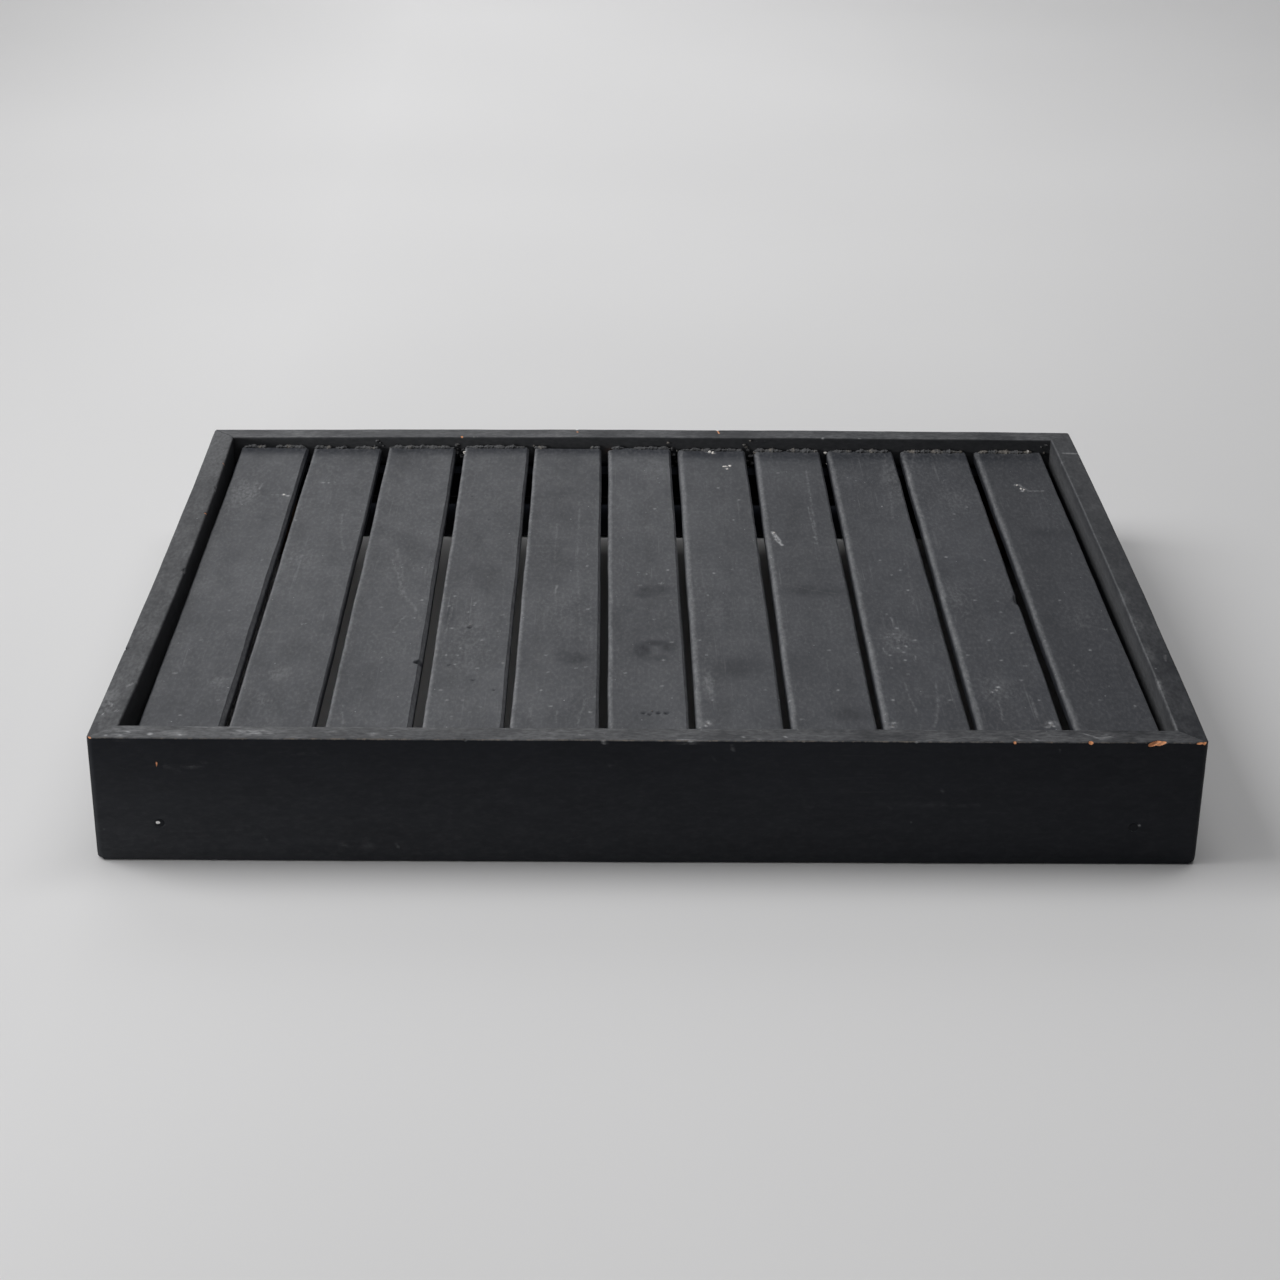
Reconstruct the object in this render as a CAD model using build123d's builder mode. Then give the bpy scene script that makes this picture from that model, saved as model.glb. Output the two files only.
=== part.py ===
"""Slatted wooden tea tray: a mitred frame on edge, with eleven slats glued on two ledgers below its rim.

Millimetres, +Z up. The origin is the middle of the tray's footprint, +X runs along the long
boards to the right, and +Y runs from the front board to the rear board.
"""
import os

from build123d import *

os.makedirs("parts", exist_ok=True)

# Whole tray
tray_width = 400
tray_depth = 315
tray_height = 50

# Frame boards
board_thickness = 10
corner_radius = 2
rim_round = 0.8
foot_bevel = 1

# Hollow under the rear board
hollow_rise = 0.8
hollow_length_share = 0.78

# Deck of slats
slat_count = 11
slat_thickness = 8
slat_bevel = 1
deck_recess = 5.5
drain_gap = 4.2
slat_end_clearance = 0.2

# How far each slat's left and right edge stands off its even place, as shares of the drain gap
left_edge_shares = (0.1, -0.2, -0.05, 0.2, -0.3, -0.2, -0.65, -0.35, -0.4, -0.3, -0.15)
right_edge_shares = (0, -0.15, 0.05, -0.05, -0.1, -0.45, -0.4, -0.35, -0.4, -0.4, -0.1)

# Ledgers under the slat ends
ledger_depth = 10
ledger_height = 12
ledger_bevel = 0.8
ledger_end_clearance = 0.2

# Corner blocks
block_size = 28
block_lift = 3
block_bevel = 2

# Nails through the boards into the corner blocks, the side boards' nails lower than the others
nail_radius = 0.8
nail_head_radius = 1.5
nail_head_thickness = 0.8
nail_point_length = 2
nail_bite = 15
long_board_nail_share = 0.58
side_board_nail_share = 0.3

# Brads through the ledgers into the front and rear boards
brad_radius = 0.6
brad_head_radius = 1.1
brad_head_thickness = 0.5
brad_point_length = 1.4
brad_bite = 6
brads_per_ledger = 5
brad_spread_share = 0.88

# Room around every nail and brad
hole_clearance = 0.05

# Worked out from the sizes above
inner_width = tray_width - 2 * board_thickness
inner_depth = tray_depth - 2 * board_thickness
slat_width = (inner_width - (slat_count + 1) * drain_gap) / slat_count
deck_level = tray_height - deck_recess
ledger_level = deck_level - slat_thickness
block_top = ledger_level - ledger_height
block_height = block_top - block_lift
nail_length = board_thickness + nail_bite
nail_place = board_thickness + block_size / 2
long_board_nail_level = block_lift + long_board_nail_share * block_height
side_board_nail_level = block_lift + side_board_nail_share * block_height
brad_length = ledger_depth + brad_bite
brad_level = ledger_level - ledger_height / 2
brad_step = brad_spread_share * inner_width / (brads_per_ledger - 1)

# One plane for each side of the frame: at the foot of its outer face, x along it, y into the tray
front_side = Plane(origin=(0, -tray_depth / 2, 0), x_dir=(1, 0, 0), z_dir=(0, 0, 1))
rear_side = Plane(origin=(0, tray_depth / 2, 0), x_dir=(-1, 0, 0), z_dir=(0, 0, 1))
left_side = Plane(origin=(-tray_width / 2, 0, 0), x_dir=(0, -1, 0), z_dir=(0, 0, 1))
right_side = Plane(origin=(tray_width / 2, 0, 0), x_dir=(0, 1, 0), z_dir=(0, 0, 1))


def nail_planes(side, board_length, level):
    """Planes of a board's two nails: on its outer face, x along the board, z out of the wood."""
    reach = board_length / 2 - nail_place
    return [
        Plane(
            origin=side.origin + side.x_dir * along + side.z_dir * level,
            x_dir=side.x_dir,
            z_dir=-side.y_dir,
        )
        for along in (-reach, reach)
    ]


def brad_planes(side):
    """Planes of a ledger's brads: on its inner face, x along the ledger, z out of the wood."""
    inner_face = side.origin + side.y_dir * (board_thickness + ledger_depth) + side.z_dir * brad_level
    first = -brad_step * (brads_per_ledger - 1) / 2
    return [
        Plane(
            origin=inner_face + side.x_dir * (first + brad_step * number),
            x_dir=side.x_dir,
            z_dir=side.y_dir,
        )
        for number in range(brads_per_ledger)
    ]


def cut_nail_holes(planes):
    """Cuts the holes of these corner nails from the part in hand."""
    with Locations(*planes):
        CounterBoreHole(
            nail_radius + hole_clearance,
            nail_head_radius + hole_clearance,
            nail_head_thickness + hole_clearance,
            nail_length + hole_clearance,
        )


def cut_brad_holes(planes):
    """Cuts the holes of these ledger brads from the part in hand."""
    with Locations(*planes):
        CounterBoreHole(
            brad_radius + hole_clearance,
            brad_head_radius + hole_clearance,
            brad_head_thickness + hole_clearance,
            brad_length + hole_clearance,
        )


def make_nail(radius, head_radius, head_thickness, point_length, length):
    """A nail driven downwards: a flat head whose top is at the origin, a round shank and a point."""
    with BuildPart() as nail:
        with BuildSketch(Plane.XZ):
            with BuildLine():
                Polyline(
                    (0, 0),
                    (head_radius, 0),
                    (head_radius, -head_thickness),
                    (radius, -head_thickness),
                    (radius, point_length - length),
                    (0, -length),
                    close=True,
                )
            make_face()
        revolve(axis=Axis.Z)
    return nail


def make_board(side, board_length, run_axis, nail_level, holes_of_brads=(), rise=0):
    """A frame board on edge: mitred ends, rounded outer corners, soft arrises and two nail holes.

    holes_of_brads holds the planes of the brads that reach into it, and rise is the height of the
    hollow under it.
    """
    half = board_length / 2
    arc_inset = corner_radius * (1 - 0.5**0.5)
    with BuildPart() as board:
        with BuildSketch(side):
            with BuildLine():
                Polyline(
                    (arc_inset - half, arc_inset),
                    (board_thickness - half, board_thickness),
                    (half - board_thickness, board_thickness),
                    (half - arc_inset, arc_inset),
                )
                RadiusArc((half - arc_inset, arc_inset), (half - corner_radius, 0), corner_radius)
                Line((half - corner_radius, 0), (corner_radius - half, 0))
                RadiusArc((corner_radius - half, 0), (arc_inset - half, arc_inset), corner_radius)
            make_face()
        extrude(amount=tray_height)
        rim = board.faces().sort_by(Axis.Z)[-1].edges()
        fillet(rim.filter_by(run_axis) + rim.filter_by(GeomType.CIRCLE), radius=rim_round)
        foot = board.faces().sort_by(Axis.Z)[0].edges()
        chamfer(foot.filter_by(run_axis) + foot.filter_by(GeomType.CIRCLE), length=foot_bevel)
        cut_nail_holes(nail_planes(side, board_length, nail_level))
        if holes_of_brads:
            cut_brad_holes(holes_of_brads)
        if rise:
            hollow_half = hollow_length_share * half
            with BuildSketch(Plane(origin=side.origin, x_dir=side.x_dir, z_dir=-side.y_dir)):
                with BuildLine():
                    ThreePointArc((-hollow_half, 0), (0, rise), (hollow_half, 0))
                    Line((hollow_half, 0), (-hollow_half, 0))
                make_face()
            extrude(amount=-board_thickness, mode=Mode.SUBTRACT)
    return board


# Frame boards
front_brads = brad_planes(front_side)
rear_brads = brad_planes(rear_side)
frame_boards = {
    "front_board": make_board(front_side, tray_width, Axis.X, long_board_nail_level, front_brads),
    "rear_board": make_board(
        rear_side, tray_width, Axis.X, long_board_nail_level, rear_brads, hollow_rise
    ),
    "left_board": make_board(left_side, tray_depth, Axis.Y, side_board_nail_level),
    "right_board": make_board(right_side, tray_depth, Axis.Y, side_board_nail_level),
}

# Slats, each between its own left and right edge
slats = {}
for number in range(slat_count):
    even_left = -inner_width / 2 + drain_gap + number * (slat_width + drain_gap)
    left_shift = left_edge_shares[number % len(left_edge_shares)] * drain_gap
    right_shift = right_edge_shares[number % len(right_edge_shares)] * drain_gap
    left_edge = even_left + left_shift
    right_edge = even_left + slat_width + right_shift
    with BuildPart() as slat:
        with BuildSketch(Plane.XY.offset(ledger_level)):
            with Locations(((left_edge + right_edge) / 2, 0)):
                Rectangle(right_edge - left_edge, inner_depth - 2 * slat_end_clearance)
        extrude(amount=slat_thickness)
        slat_top = slat.faces().sort_by(Axis.Z)[-1]
        chamfer(slat_top.edges().filter_by(Axis.Y), length=slat_bevel)
    slats[f"slat_{number + 1:02d}"] = slat

# Ledgers on the inner faces of the front and rear boards
ledgers = {}
for name, side, brads in (
    ("front_ledger", front_side, front_brads),
    ("rear_ledger", rear_side, rear_brads),
):
    with BuildPart() as ledger:
        with BuildSketch(side.offset(block_top)):
            with Locations((0, board_thickness + ledger_depth / 2)):
                Rectangle(inner_width - 2 * ledger_end_clearance, ledger_depth)
        extrude(amount=ledger_height)
        lower_edges = ledger.faces().sort_by(Axis.Z)[0].edges().filter_by(Axis.X)
        inwards = Axis(side.origin, side.y_dir)
        chamfer(lower_edges.sort_by(inwards)[-1], length=ledger_bevel)
        cut_brad_holes(brads)
    ledgers[name] = ledger

# Corner blocks behind the mitres, under the ledgers
corner_blocks = {}
for end_name, end, long_side in (("front", -1, front_side), ("rear", 1, rear_side)):
    for hand_name, hand, short_side in (("left", -1, left_side), ("right", 1, right_side)):
        with BuildPart() as corner_block:
            with BuildSketch(Plane.XY.offset(block_lift)):
                with Locations((hand * (inner_width - block_size) / 2, end * (inner_depth - block_size) / 2)):
                    Rectangle(block_size, block_size)
            extrude(amount=block_height)
            upright_edges = corner_block.edges().filter_by(Axis.Z)
            chamfer(upright_edges.sort_by_distance((0, 0, 0))[0], length=block_bevel)
            cut_nail_holes(nail_planes(long_side, tray_width, long_board_nail_level))
            cut_nail_holes(nail_planes(short_side, tray_depth, side_board_nail_level))
        corner_blocks[f"corner_block_{end_name}_{hand_name}"] = corner_block

# Corner nails, two through each board
corner_nail = make_nail(
    nail_radius, nail_head_radius, nail_head_thickness, nail_point_length, nail_length
)
with BuildPart() as corner_nails:
    for side in (front_side, rear_side):
        with Locations(*nail_planes(side, tray_width, long_board_nail_level)):
            add(corner_nail.part)
    for side in (left_side, right_side):
        with Locations(*nail_planes(side, tray_depth, side_board_nail_level)):
            add(corner_nail.part)

# Ledger brads
ledger_brad = make_nail(
    brad_radius, brad_head_radius, brad_head_thickness, brad_point_length, brad_length
)
with BuildPart() as ledger_brads:
    with Locations(*front_brads, *rear_brads):
        add(ledger_brad.part)

fastenings = {"corner_nails": corner_nails, "ledger_brads": ledger_brads}

# One file for each node
for nodes in (frame_boards, slats, ledgers, corner_blocks, fastenings):
    for name, node in nodes.items():
        node.part.label = name
        export_step(node.part, f"parts/{name}.step")
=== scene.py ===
"""Looks of the gongfu tea tray: painted boards and slats with their wear, glue and dust, and a studio.

Lengths are millimetres, +X to the right, +Y to the rear and +Z up, and points become metres when a mesh is
made. Marks seen in the photograph are given as its pixels, 1280 each way, and the photograph's own camera
carries them onto the face that they lie on.
"""
import logging
import math
from collections.abc import Sequence
from dataclasses import dataclass, field, replace
from enum import Enum
from functools import reduce

import bpy
import numpy as np
from mathutils import Matrix, Vector


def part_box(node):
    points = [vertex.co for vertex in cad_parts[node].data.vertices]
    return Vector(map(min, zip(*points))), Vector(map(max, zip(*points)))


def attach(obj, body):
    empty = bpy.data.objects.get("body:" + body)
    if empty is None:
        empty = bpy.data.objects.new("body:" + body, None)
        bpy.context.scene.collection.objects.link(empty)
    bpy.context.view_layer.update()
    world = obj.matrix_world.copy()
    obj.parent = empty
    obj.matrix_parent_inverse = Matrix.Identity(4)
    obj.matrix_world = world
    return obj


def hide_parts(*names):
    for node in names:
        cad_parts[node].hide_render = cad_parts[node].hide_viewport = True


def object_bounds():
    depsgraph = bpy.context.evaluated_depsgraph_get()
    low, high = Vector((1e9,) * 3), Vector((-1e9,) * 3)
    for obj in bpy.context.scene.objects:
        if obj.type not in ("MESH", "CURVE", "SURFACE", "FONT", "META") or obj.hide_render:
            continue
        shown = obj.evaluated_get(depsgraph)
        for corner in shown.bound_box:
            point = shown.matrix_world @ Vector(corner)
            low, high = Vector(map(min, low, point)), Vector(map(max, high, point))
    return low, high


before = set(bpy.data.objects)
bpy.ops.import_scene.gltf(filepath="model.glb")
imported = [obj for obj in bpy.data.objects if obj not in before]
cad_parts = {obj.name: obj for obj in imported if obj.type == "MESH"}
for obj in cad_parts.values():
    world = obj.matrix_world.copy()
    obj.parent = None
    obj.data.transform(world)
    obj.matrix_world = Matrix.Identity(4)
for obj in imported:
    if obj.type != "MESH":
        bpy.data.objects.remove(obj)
CAD_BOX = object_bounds()

log = logging.getLogger("tea_tray")

Pixel = tuple[float, float]
Colour = tuple[float, float, float]

# The two ends of a range, and where they are given the two values that it is carried to
Span = tuple[float, ...]

MM = 0.001

# Keeps a division away from nought
TINY = 0.001

# The angle, in degrees, past which an edge between two faces of a mesh stays sharp
CREASE = 38.0

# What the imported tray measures
TRAY_LOW, TRAY_HIGH = (np.array(corner) / MM for corner in CAD_BOX)
TRAY_WIDTH, TRAY_DEPTH, TRAY_HEIGHT = TRAY_HIGH - TRAY_LOW
HALF_PLAN = np.array([TRAY_WIDTH, TRAY_DEPTH]) / 2
BOARD_THICKNESS = (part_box("front_board")[1].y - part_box("front_board")[0].y) / MM
DECK_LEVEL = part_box("slat_06")[1].z / MM
SLAT_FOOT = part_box("slat_06")[0].z / MM

# How far the corner nails stand from the boards' ends, and how high in the long and the side boards
NAIL_PLACE = 24.0
LONG_NAIL_LEVEL = 15.5
SIDE_NAIL_LEVEL = 9.45


def packed_box(node: str) -> tuple[np.ndarray, ...]:
    """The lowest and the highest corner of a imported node's box, in millimetres."""
    return tuple(np.array(corner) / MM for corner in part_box(node))


class Trait(Enum):
    """What a mesh tells its paint at each point, from nothing at 0 to fully at 1."""

    PALE = "pale"
    # Painted light, with some dust, that lifts the paint towards pale
    HAZE = "haze"
    STAIN = "stain"
    WEAR = "wear"
    BARE = "bare"


class Face(Enum):
    """A flat face that carries marks: the axis it is square to, and its place on that axis."""

    DECK = (2, DECK_LEVEL)
    RIM = (2, TRAY_HEIGHT)
    REAR_INNER = (1, TRAY_DEPTH / 2 - BOARD_THICKNESS)
    FRONT = (1, -TRAY_DEPTH / 2)


@dataclass(frozen=True)
class PhotoCamera:
    """The photograph's camera: a pinhole over a square picture, in millimetres and degrees."""

    picture_side: float = 1280.0
    focal_pixels: float = 2525.4
    sensor_width: float = 36.0
    place: tuple[float, float, float] = (-11.5, -956.3, 462.0)
    pitch: float = 25.01
    yaw: float = 0.581
    roll: float = 0.539
    clip: tuple[float, float] = (0.01, 60.0)

    def axes(self) -> np.ndarray:
        """The camera's right, up and forward directions, one in each row.

        Forward comes from yaw to the right of +Y and pitch below the level, and right and up are level and
        square to it before the roll turns both about forward.

        Returns:
            A 3 by 3 array of unit vectors.
        """
        pitch, yaw, roll = np.radians([self.pitch, self.yaw, self.roll])
        forward = np.array([np.sin(yaw) * np.cos(pitch), np.cos(yaw) * np.cos(pitch), -np.sin(pitch)])
        level = np.array([np.cos(yaw), -np.sin(yaw), 0.0])
        upright = np.cross(level, forward)
        right = level * np.cos(roll) + upright * np.sin(roll)
        up = upright * np.cos(roll) - level * np.sin(roll)
        return np.stack([right, up, forward])

    def onto(self, pixels: Sequence[Pixel], face: Face) -> np.ndarray:
        """Where the rays of these pixels meet a face.

        A ray runs from the camera's place towards its pixel, and meets the face at the distance at which
        the coordinate that the face is square to reaches the face's own.

        Args:
            pixels: Places in the photograph, from its upper left corner.
            face: The face that they show.

        Returns:
            One point a row, in millimetres.
        """
        right, up, forward = self.axes()
        offsets = (np.array(pixels, float) - self.picture_side / 2) / self.focal_pixels
        rays = forward + offsets[:, :1] * right - offsets[:, 1:] * up
        axis, level = face.value
        start = np.array(self.place)
        return start + rays * ((level - start[axis]) / rays[:, axis])[:, None]

    def build(self) -> None:
        """Adds the camera and makes it the scene's own."""
        lens = bpy.data.cameras.new("photo_camera")
        lens.sensor_width = self.sensor_width
        lens.lens = self.sensor_width * self.focal_pixels / self.picture_side
        lens.clip_start, lens.clip_end = self.clip
        camera = bpy.data.objects.new("photo_camera", lens)
        right, up, forward = self.axes()
        turn = Matrix(np.stack([right, up, -forward], axis=1).tolist()).to_4x4()
        camera.matrix_world = Matrix.Translation(np.array(self.place) * MM) @ turn
        bpy.context.scene.collection.objects.link(camera)
        bpy.context.scene.camera = camera


PHOTO = PhotoCamera()


@dataclass(frozen=True)
class Stroke:
    """A scratch, streak or speck that runs along pixels of the photograph."""

    pixels: tuple[Pixel, ...]
    width: float
    strength: float

    def at(self, points: np.ndarray, face: Face) -> np.ndarray:
        """How strongly it marks each point: full on its line, falling evenly to nothing a width away.

        Args:
            points: Points in the plane of the face, in millimetres.
            face: The face that its pixels show.

        Returns:
            A strength for each point.
        """
        places = PHOTO.onto(self.pixels, face)
        nearest = np.full(len(points), np.inf)
        for start, end in zip(places, places[1:] if len(places) > 1 else places):
            run = end - start
            share = np.clip((points - start) @ run / max(run @ run, TINY), 0, 1)
            nearest = np.minimum(nearest, np.linalg.norm(points - start - share[:, None] * run, axis=1))
        return self.strength * np.clip(1 - nearest / self.width, 0, 1)


@dataclass(frozen=True)
class Patch:
    """A soft-edged cloud or blotch about a pixel of the photograph."""

    pixel: Pixel
    size: tuple[float, float]
    strength: float
    turn: float = 0.0
    fall: float = 2.0
    flatness: float = 3.0

    def at(self, points: np.ndarray, face: Face) -> np.ndarray:
        """How strongly it marks each point: a bell, flat on top, by the cube of the distance in sizes.

        Args:
            points: Points in the plane of the face, in millimetres.
            face: The face that its pixel shows.

        Returns:
            A strength for each point.
        """
        place = PHOTO.onto([self.pixel], face)[0]
        across, along = (index for index in range(3) if index != face.value[0])
        turn = math.radians(self.turn)
        x, y = points[:, across] - place[across], points[:, along] - place[along]
        u = (x * math.cos(turn) + y * math.sin(turn)) / self.size[0]
        v = (y * math.cos(turn) - x * math.sin(turn)) / self.size[1]
        return self.strength * np.exp(-self.fall * (u * u + v * v) ** (self.flatness / 2))


def specks(width: float, strength: float, *pixels: Pixel) -> tuple[Stroke, ...]:
    """Round specks of one width and strength at these pixels."""
    return tuple(Stroke((pixel,), width, strength) for pixel in pixels)


def strokes(*rows: tuple) -> tuple[Stroke, ...]:
    """Strokes from rows of a width, a strength and the pixels that each runs along."""
    return tuple(Stroke(tuple(pixels), width, strength) for width, strength, *pixels in rows)


def patches(*rows: tuple[float, ...]) -> tuple[Patch, ...]:
    """Patches from rows of a pixel, a size across and along the face, a strength and any turn."""
    return tuple(Patch(row[:2], row[2:4], *row[4:]) for row in rows)


@dataclass(frozen=True)
class Marks:
    """All the marks of one kind on one face."""

    face: Face
    trait: Trait
    marks: tuple[Stroke | Patch, ...]
    skin: float = 1.5

    def add_to(self, surface: "Surface") -> None:
        """Adds these marks, measured in the face's plane, to the points within a skin's depth of it."""
        axis, level = self.face.value
        near = np.abs(surface.points[:, axis] - level) < self.skin
        points = surface.points[near]
        points[:, axis] = level
        total = np.zeros(len(points))
        for mark in self.marks:
            total = np.maximum(total, mark.at(points, self.face))
        values = surface.trait(self.trait)
        values[near] = np.clip(values[near] + total, 0, 1)


@dataclass(frozen=True)
class Chip:
    """A splinter broken off an arris, at a pixel of the photograph."""

    pixel: Pixel
    length: float
    depth: float
    bareness: float
    slant: float = 0.0
    inner: bool = False
    shows: Trait = Trait.BARE
    edge: float = 0.25

    def cut(self, surface: "Surface", face: Face, corner: np.ndarray, outward: np.ndarray) -> None:
        """Presses the surface in around the chip, and bares what was pressed.

        The chip is a hollow whose depth below the arris falls with the square of the distance from its
        middle. Each point that stands out past the hollow moves in along the outward direction onto it.

        Args:
            surface: The board or slat that it is broken off.
            face: The flat face that its pixel shows.
            corner: A point on the sharp arris.
            outward: The direction out of the wood at the arris, midway between its two faces.
        """
        outward = outward / np.linalg.norm(outward)
        run = np.cross(outward, np.eye(3)[face.value[0]])
        run = run / np.linalg.norm(run)
        place = PHOTO.onto([self.pixel], face)[0]
        middle = corner + ((place - corner) @ run) * run
        offset = surface.points - middle
        along = offset @ run + self.slant * (offset @ np.cross(run, outward))
        allowed = -self.depth * np.clip(1 - (2 * along / self.length) ** 2, 0, None)
        pressed = np.where(np.abs(along) < self.length / 2, offset @ outward - allowed, 0)
        pressed = np.clip(pressed, 0, None)
        surface.points -= pressed[:, None] * outward
        shown = surface.trait(self.shows)
        shown[:] = np.maximum(shown, self.bareness * np.clip(pressed / (self.edge * self.depth), 0, 1))


def chips(*rows: tuple[float, ...], **shared: object) -> tuple[Chip, ...]:
    """Chips from rows of a pixel, a length, a depth, a bareness and any slant, and what they share."""
    return tuple(Chip(row[:2], *row[2:], **shared) for row in rows)


@dataclass(frozen=True)
class Ripple:
    """A gentle unevenness along a line: sines of drawn phase, each shorter and lower than the last."""

    height: float
    wavelength: float
    seed: int
    octaves: int = 4
    detune: float = 0.13

    def at(self, along: np.ndarray) -> np.ndarray:
        """The unevenness at each place: the sum of sines over doubling frequency and halving height."""
        phases = np.random.default_rng(self.seed).uniform(0, 2 * np.pi, self.octaves)
        doubled = 2.0 ** np.arange(self.octaves)
        stretch = 1 + self.detune * np.arange(self.octaves)
        turns = 2 * np.pi * doubled * stretch / self.wavelength
        return self.height * (np.sin(along[..., None] * turns + phases) / doubled).sum(-1)


def spaced(
    start: float,
    end: float,
    coarse: float,
    fine: float = 0.0,
    near: Sequence[float] = (),
    reach: float = 3.0,
    probes: int = 6000,
) -> np.ndarray:
    """Places from start to end, closer together near the places that need it.

    The step blends from fine within reach of a near place to coarse at twice that, and the places are
    where the sum of one over the step reaches whole numbers.

    Args:
        start: The first place.
        end: The last place.
        coarse: The step far from the near places.
        fine: The step at the near places.
        near: The places that need a fine step.
        reach: How far from them the fine step holds.
        probes: How many places the sum is taken over.

    Returns:
        The places, in order.
    """
    probe = np.linspace(start, end, probes)
    step = np.full_like(probe, coarse)
    for place in near:
        closeness = np.clip(2 - np.abs(probe - place) / reach, 0, 1)
        step = np.minimum(step, coarse + (fine - coarse) * closeness)
    total = np.concatenate([[0], np.cumsum(np.abs(np.diff(probe)) / step[1:])])
    count = max(1, round(float(total[-1])))
    return np.interp(np.linspace(0, total[-1], count + 1), total, probe)


def quarter_round(radius: float, first: float, steps: int) -> tuple[np.ndarray, np.ndarray]:
    """A quarter circle from an angle of first degrees, turning clockwise: its offsets from the centre."""
    angles = np.radians(first - np.linspace(0, 90, steps + 1))
    return radius * np.cos(angles), radius * np.sin(angles)


@dataclass
class Surface:
    """A closed surface: points in millimetres, faces by their size, and the traits of each point."""

    points: np.ndarray
    faces: list[np.ndarray]
    traits: dict[Trait, np.ndarray] = field(default_factory=dict)

    def trait(self, kind: Trait) -> np.ndarray:
        """The values of one trait, which start at nothing."""
        return self.traits.setdefault(kind, np.zeros(len(self.points)))

    def with_every_trait(self) -> "Surface":
        """The surface, once it has every trait."""
        for kind in Trait:
            self.trait(kind)
        return self

    def joined(self, other: "Surface") -> "Surface":
        """This surface and another as one."""
        faces = self.faces + [corners + len(self.points) for corners in other.faces]
        traits = {
            kind: np.concatenate([self.trait(kind), other.trait(kind)])
            for kind in dict.fromkeys([*self.traits, *other.traits])
        }
        return Surface(np.concatenate([self.points, other.points]), faces, traits)

    def facing_out(self) -> "Surface":
        """The surface with its faces turned outwards, judged by the sign of the volume that it holds."""
        volume = 0.0
        for corners in self.faces:
            a, b, c = (self.points[corners[:, index]] for index in (0, 1, 2))
            volume += np.einsum("ij,ij->i", a, np.cross(b, c)).sum()
            if corners.shape[1] == 4:
                d = self.points[corners[:, 3]]
                volume += np.einsum("ij,ij->i", a, np.cross(c, d)).sum()
        if volume < 0:
            self.faces = [corners[:, ::-1] for corners in self.faces]
        return self

    def build(self, name: str) -> bpy.types.Object:
        """Makes the surface a mesh object of that name, at the origin."""
        mesh = bpy.data.meshes.new(name)
        mesh.vertices.add(len(self.points))
        mesh.vertices.foreach_set("co", (self.points * MM).astype(np.float32).ravel())
        corners = np.concatenate([each.ravel() for each in self.faces])
        sizes = np.concatenate([np.full(len(each), each.shape[1]) for each in self.faces])
        mesh.loops.add(len(corners))
        mesh.loops.foreach_set("vertex_index", corners.astype(np.int32))
        mesh.polygons.add(len(sizes))
        starts = np.concatenate([[0], np.cumsum(sizes)[:-1]])
        mesh.polygons.foreach_set("loop_start", starts.astype(np.int32))
        mesh.update(calc_edges=True)
        mesh.validate()
        mesh.polygons.foreach_set("use_smooth", np.ones(len(sizes), bool))
        mesh.set_sharp_from_angle(angle=math.radians(CREASE))
        for kind, values in self.traits.items():
            layer = mesh.attributes.new(kind.value, "FLOAT", "POINT")
            layer.data.foreach_set("value", values.astype(np.float32))
        piece = bpy.data.objects.new(name, mesh)
        bpy.context.scene.collection.objects.link(piece)
        return piece

    def place(
        self, name: str, material: bpy.types.Material, node: str = "", slot: str = ""
    ) -> bpy.types.Object:
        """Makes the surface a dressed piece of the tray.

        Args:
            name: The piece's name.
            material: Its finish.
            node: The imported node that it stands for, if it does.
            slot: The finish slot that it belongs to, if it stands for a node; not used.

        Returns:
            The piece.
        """
        piece = self.build(name)
        piece.data.materials.append(material)
        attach(piece, "root")
        if node:
            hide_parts(node)
        return piece


def loft(rings: np.ndarray) -> Surface:
    """A closed surface through rings of points, with a fan of triangles over the first and last ring.

    Args:
        rings: An array of rings by points by three, where each ring's last point joins its first.

    Returns:
        The surface, with its faces outwards.
    """
    count, around = rings.shape[:2]
    ring, point = np.meshgrid(np.arange(count - 1), np.arange(around), indexing="ij")
    here, beside = ring * around + point, ring * around + (point + 1) % around
    quads = np.stack([here, beside, beside + around, here + around], axis=-1).reshape(-1, 4)
    middles = np.stack([rings[0].mean(0), rings[-1].mean(0)])
    edge = np.arange(around)
    after = (edge + 1) % around
    base = (count - 1) * around
    first = np.stack([after, edge, np.full(around, count * around)], axis=1)
    last = np.stack([base + edge, base + after, np.full(around, count * around + 1)], axis=1)
    fans = np.concatenate([first, last])
    return Surface(np.concatenate([rings.reshape(-1, 3), middles]), [quads, fans]).facing_out()


class Grain(Enum):
    """The axis that a board's grain runs along, if any."""

    ALONG_X = 0
    ALONG_Y = 1
    ALONG_Z = 2
    NONE = 3


@dataclass(frozen=True)
class Noise:
    """A cloudy noise: its features in a metre across and along the grain, its finer layers and its place.

    Detail is how many finer layers it has, and coarse is how strong each of them is beside the one before.
    """

    across: float
    along: float
    detail: float
    coarse: float
    shift: float = 0.0


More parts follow.
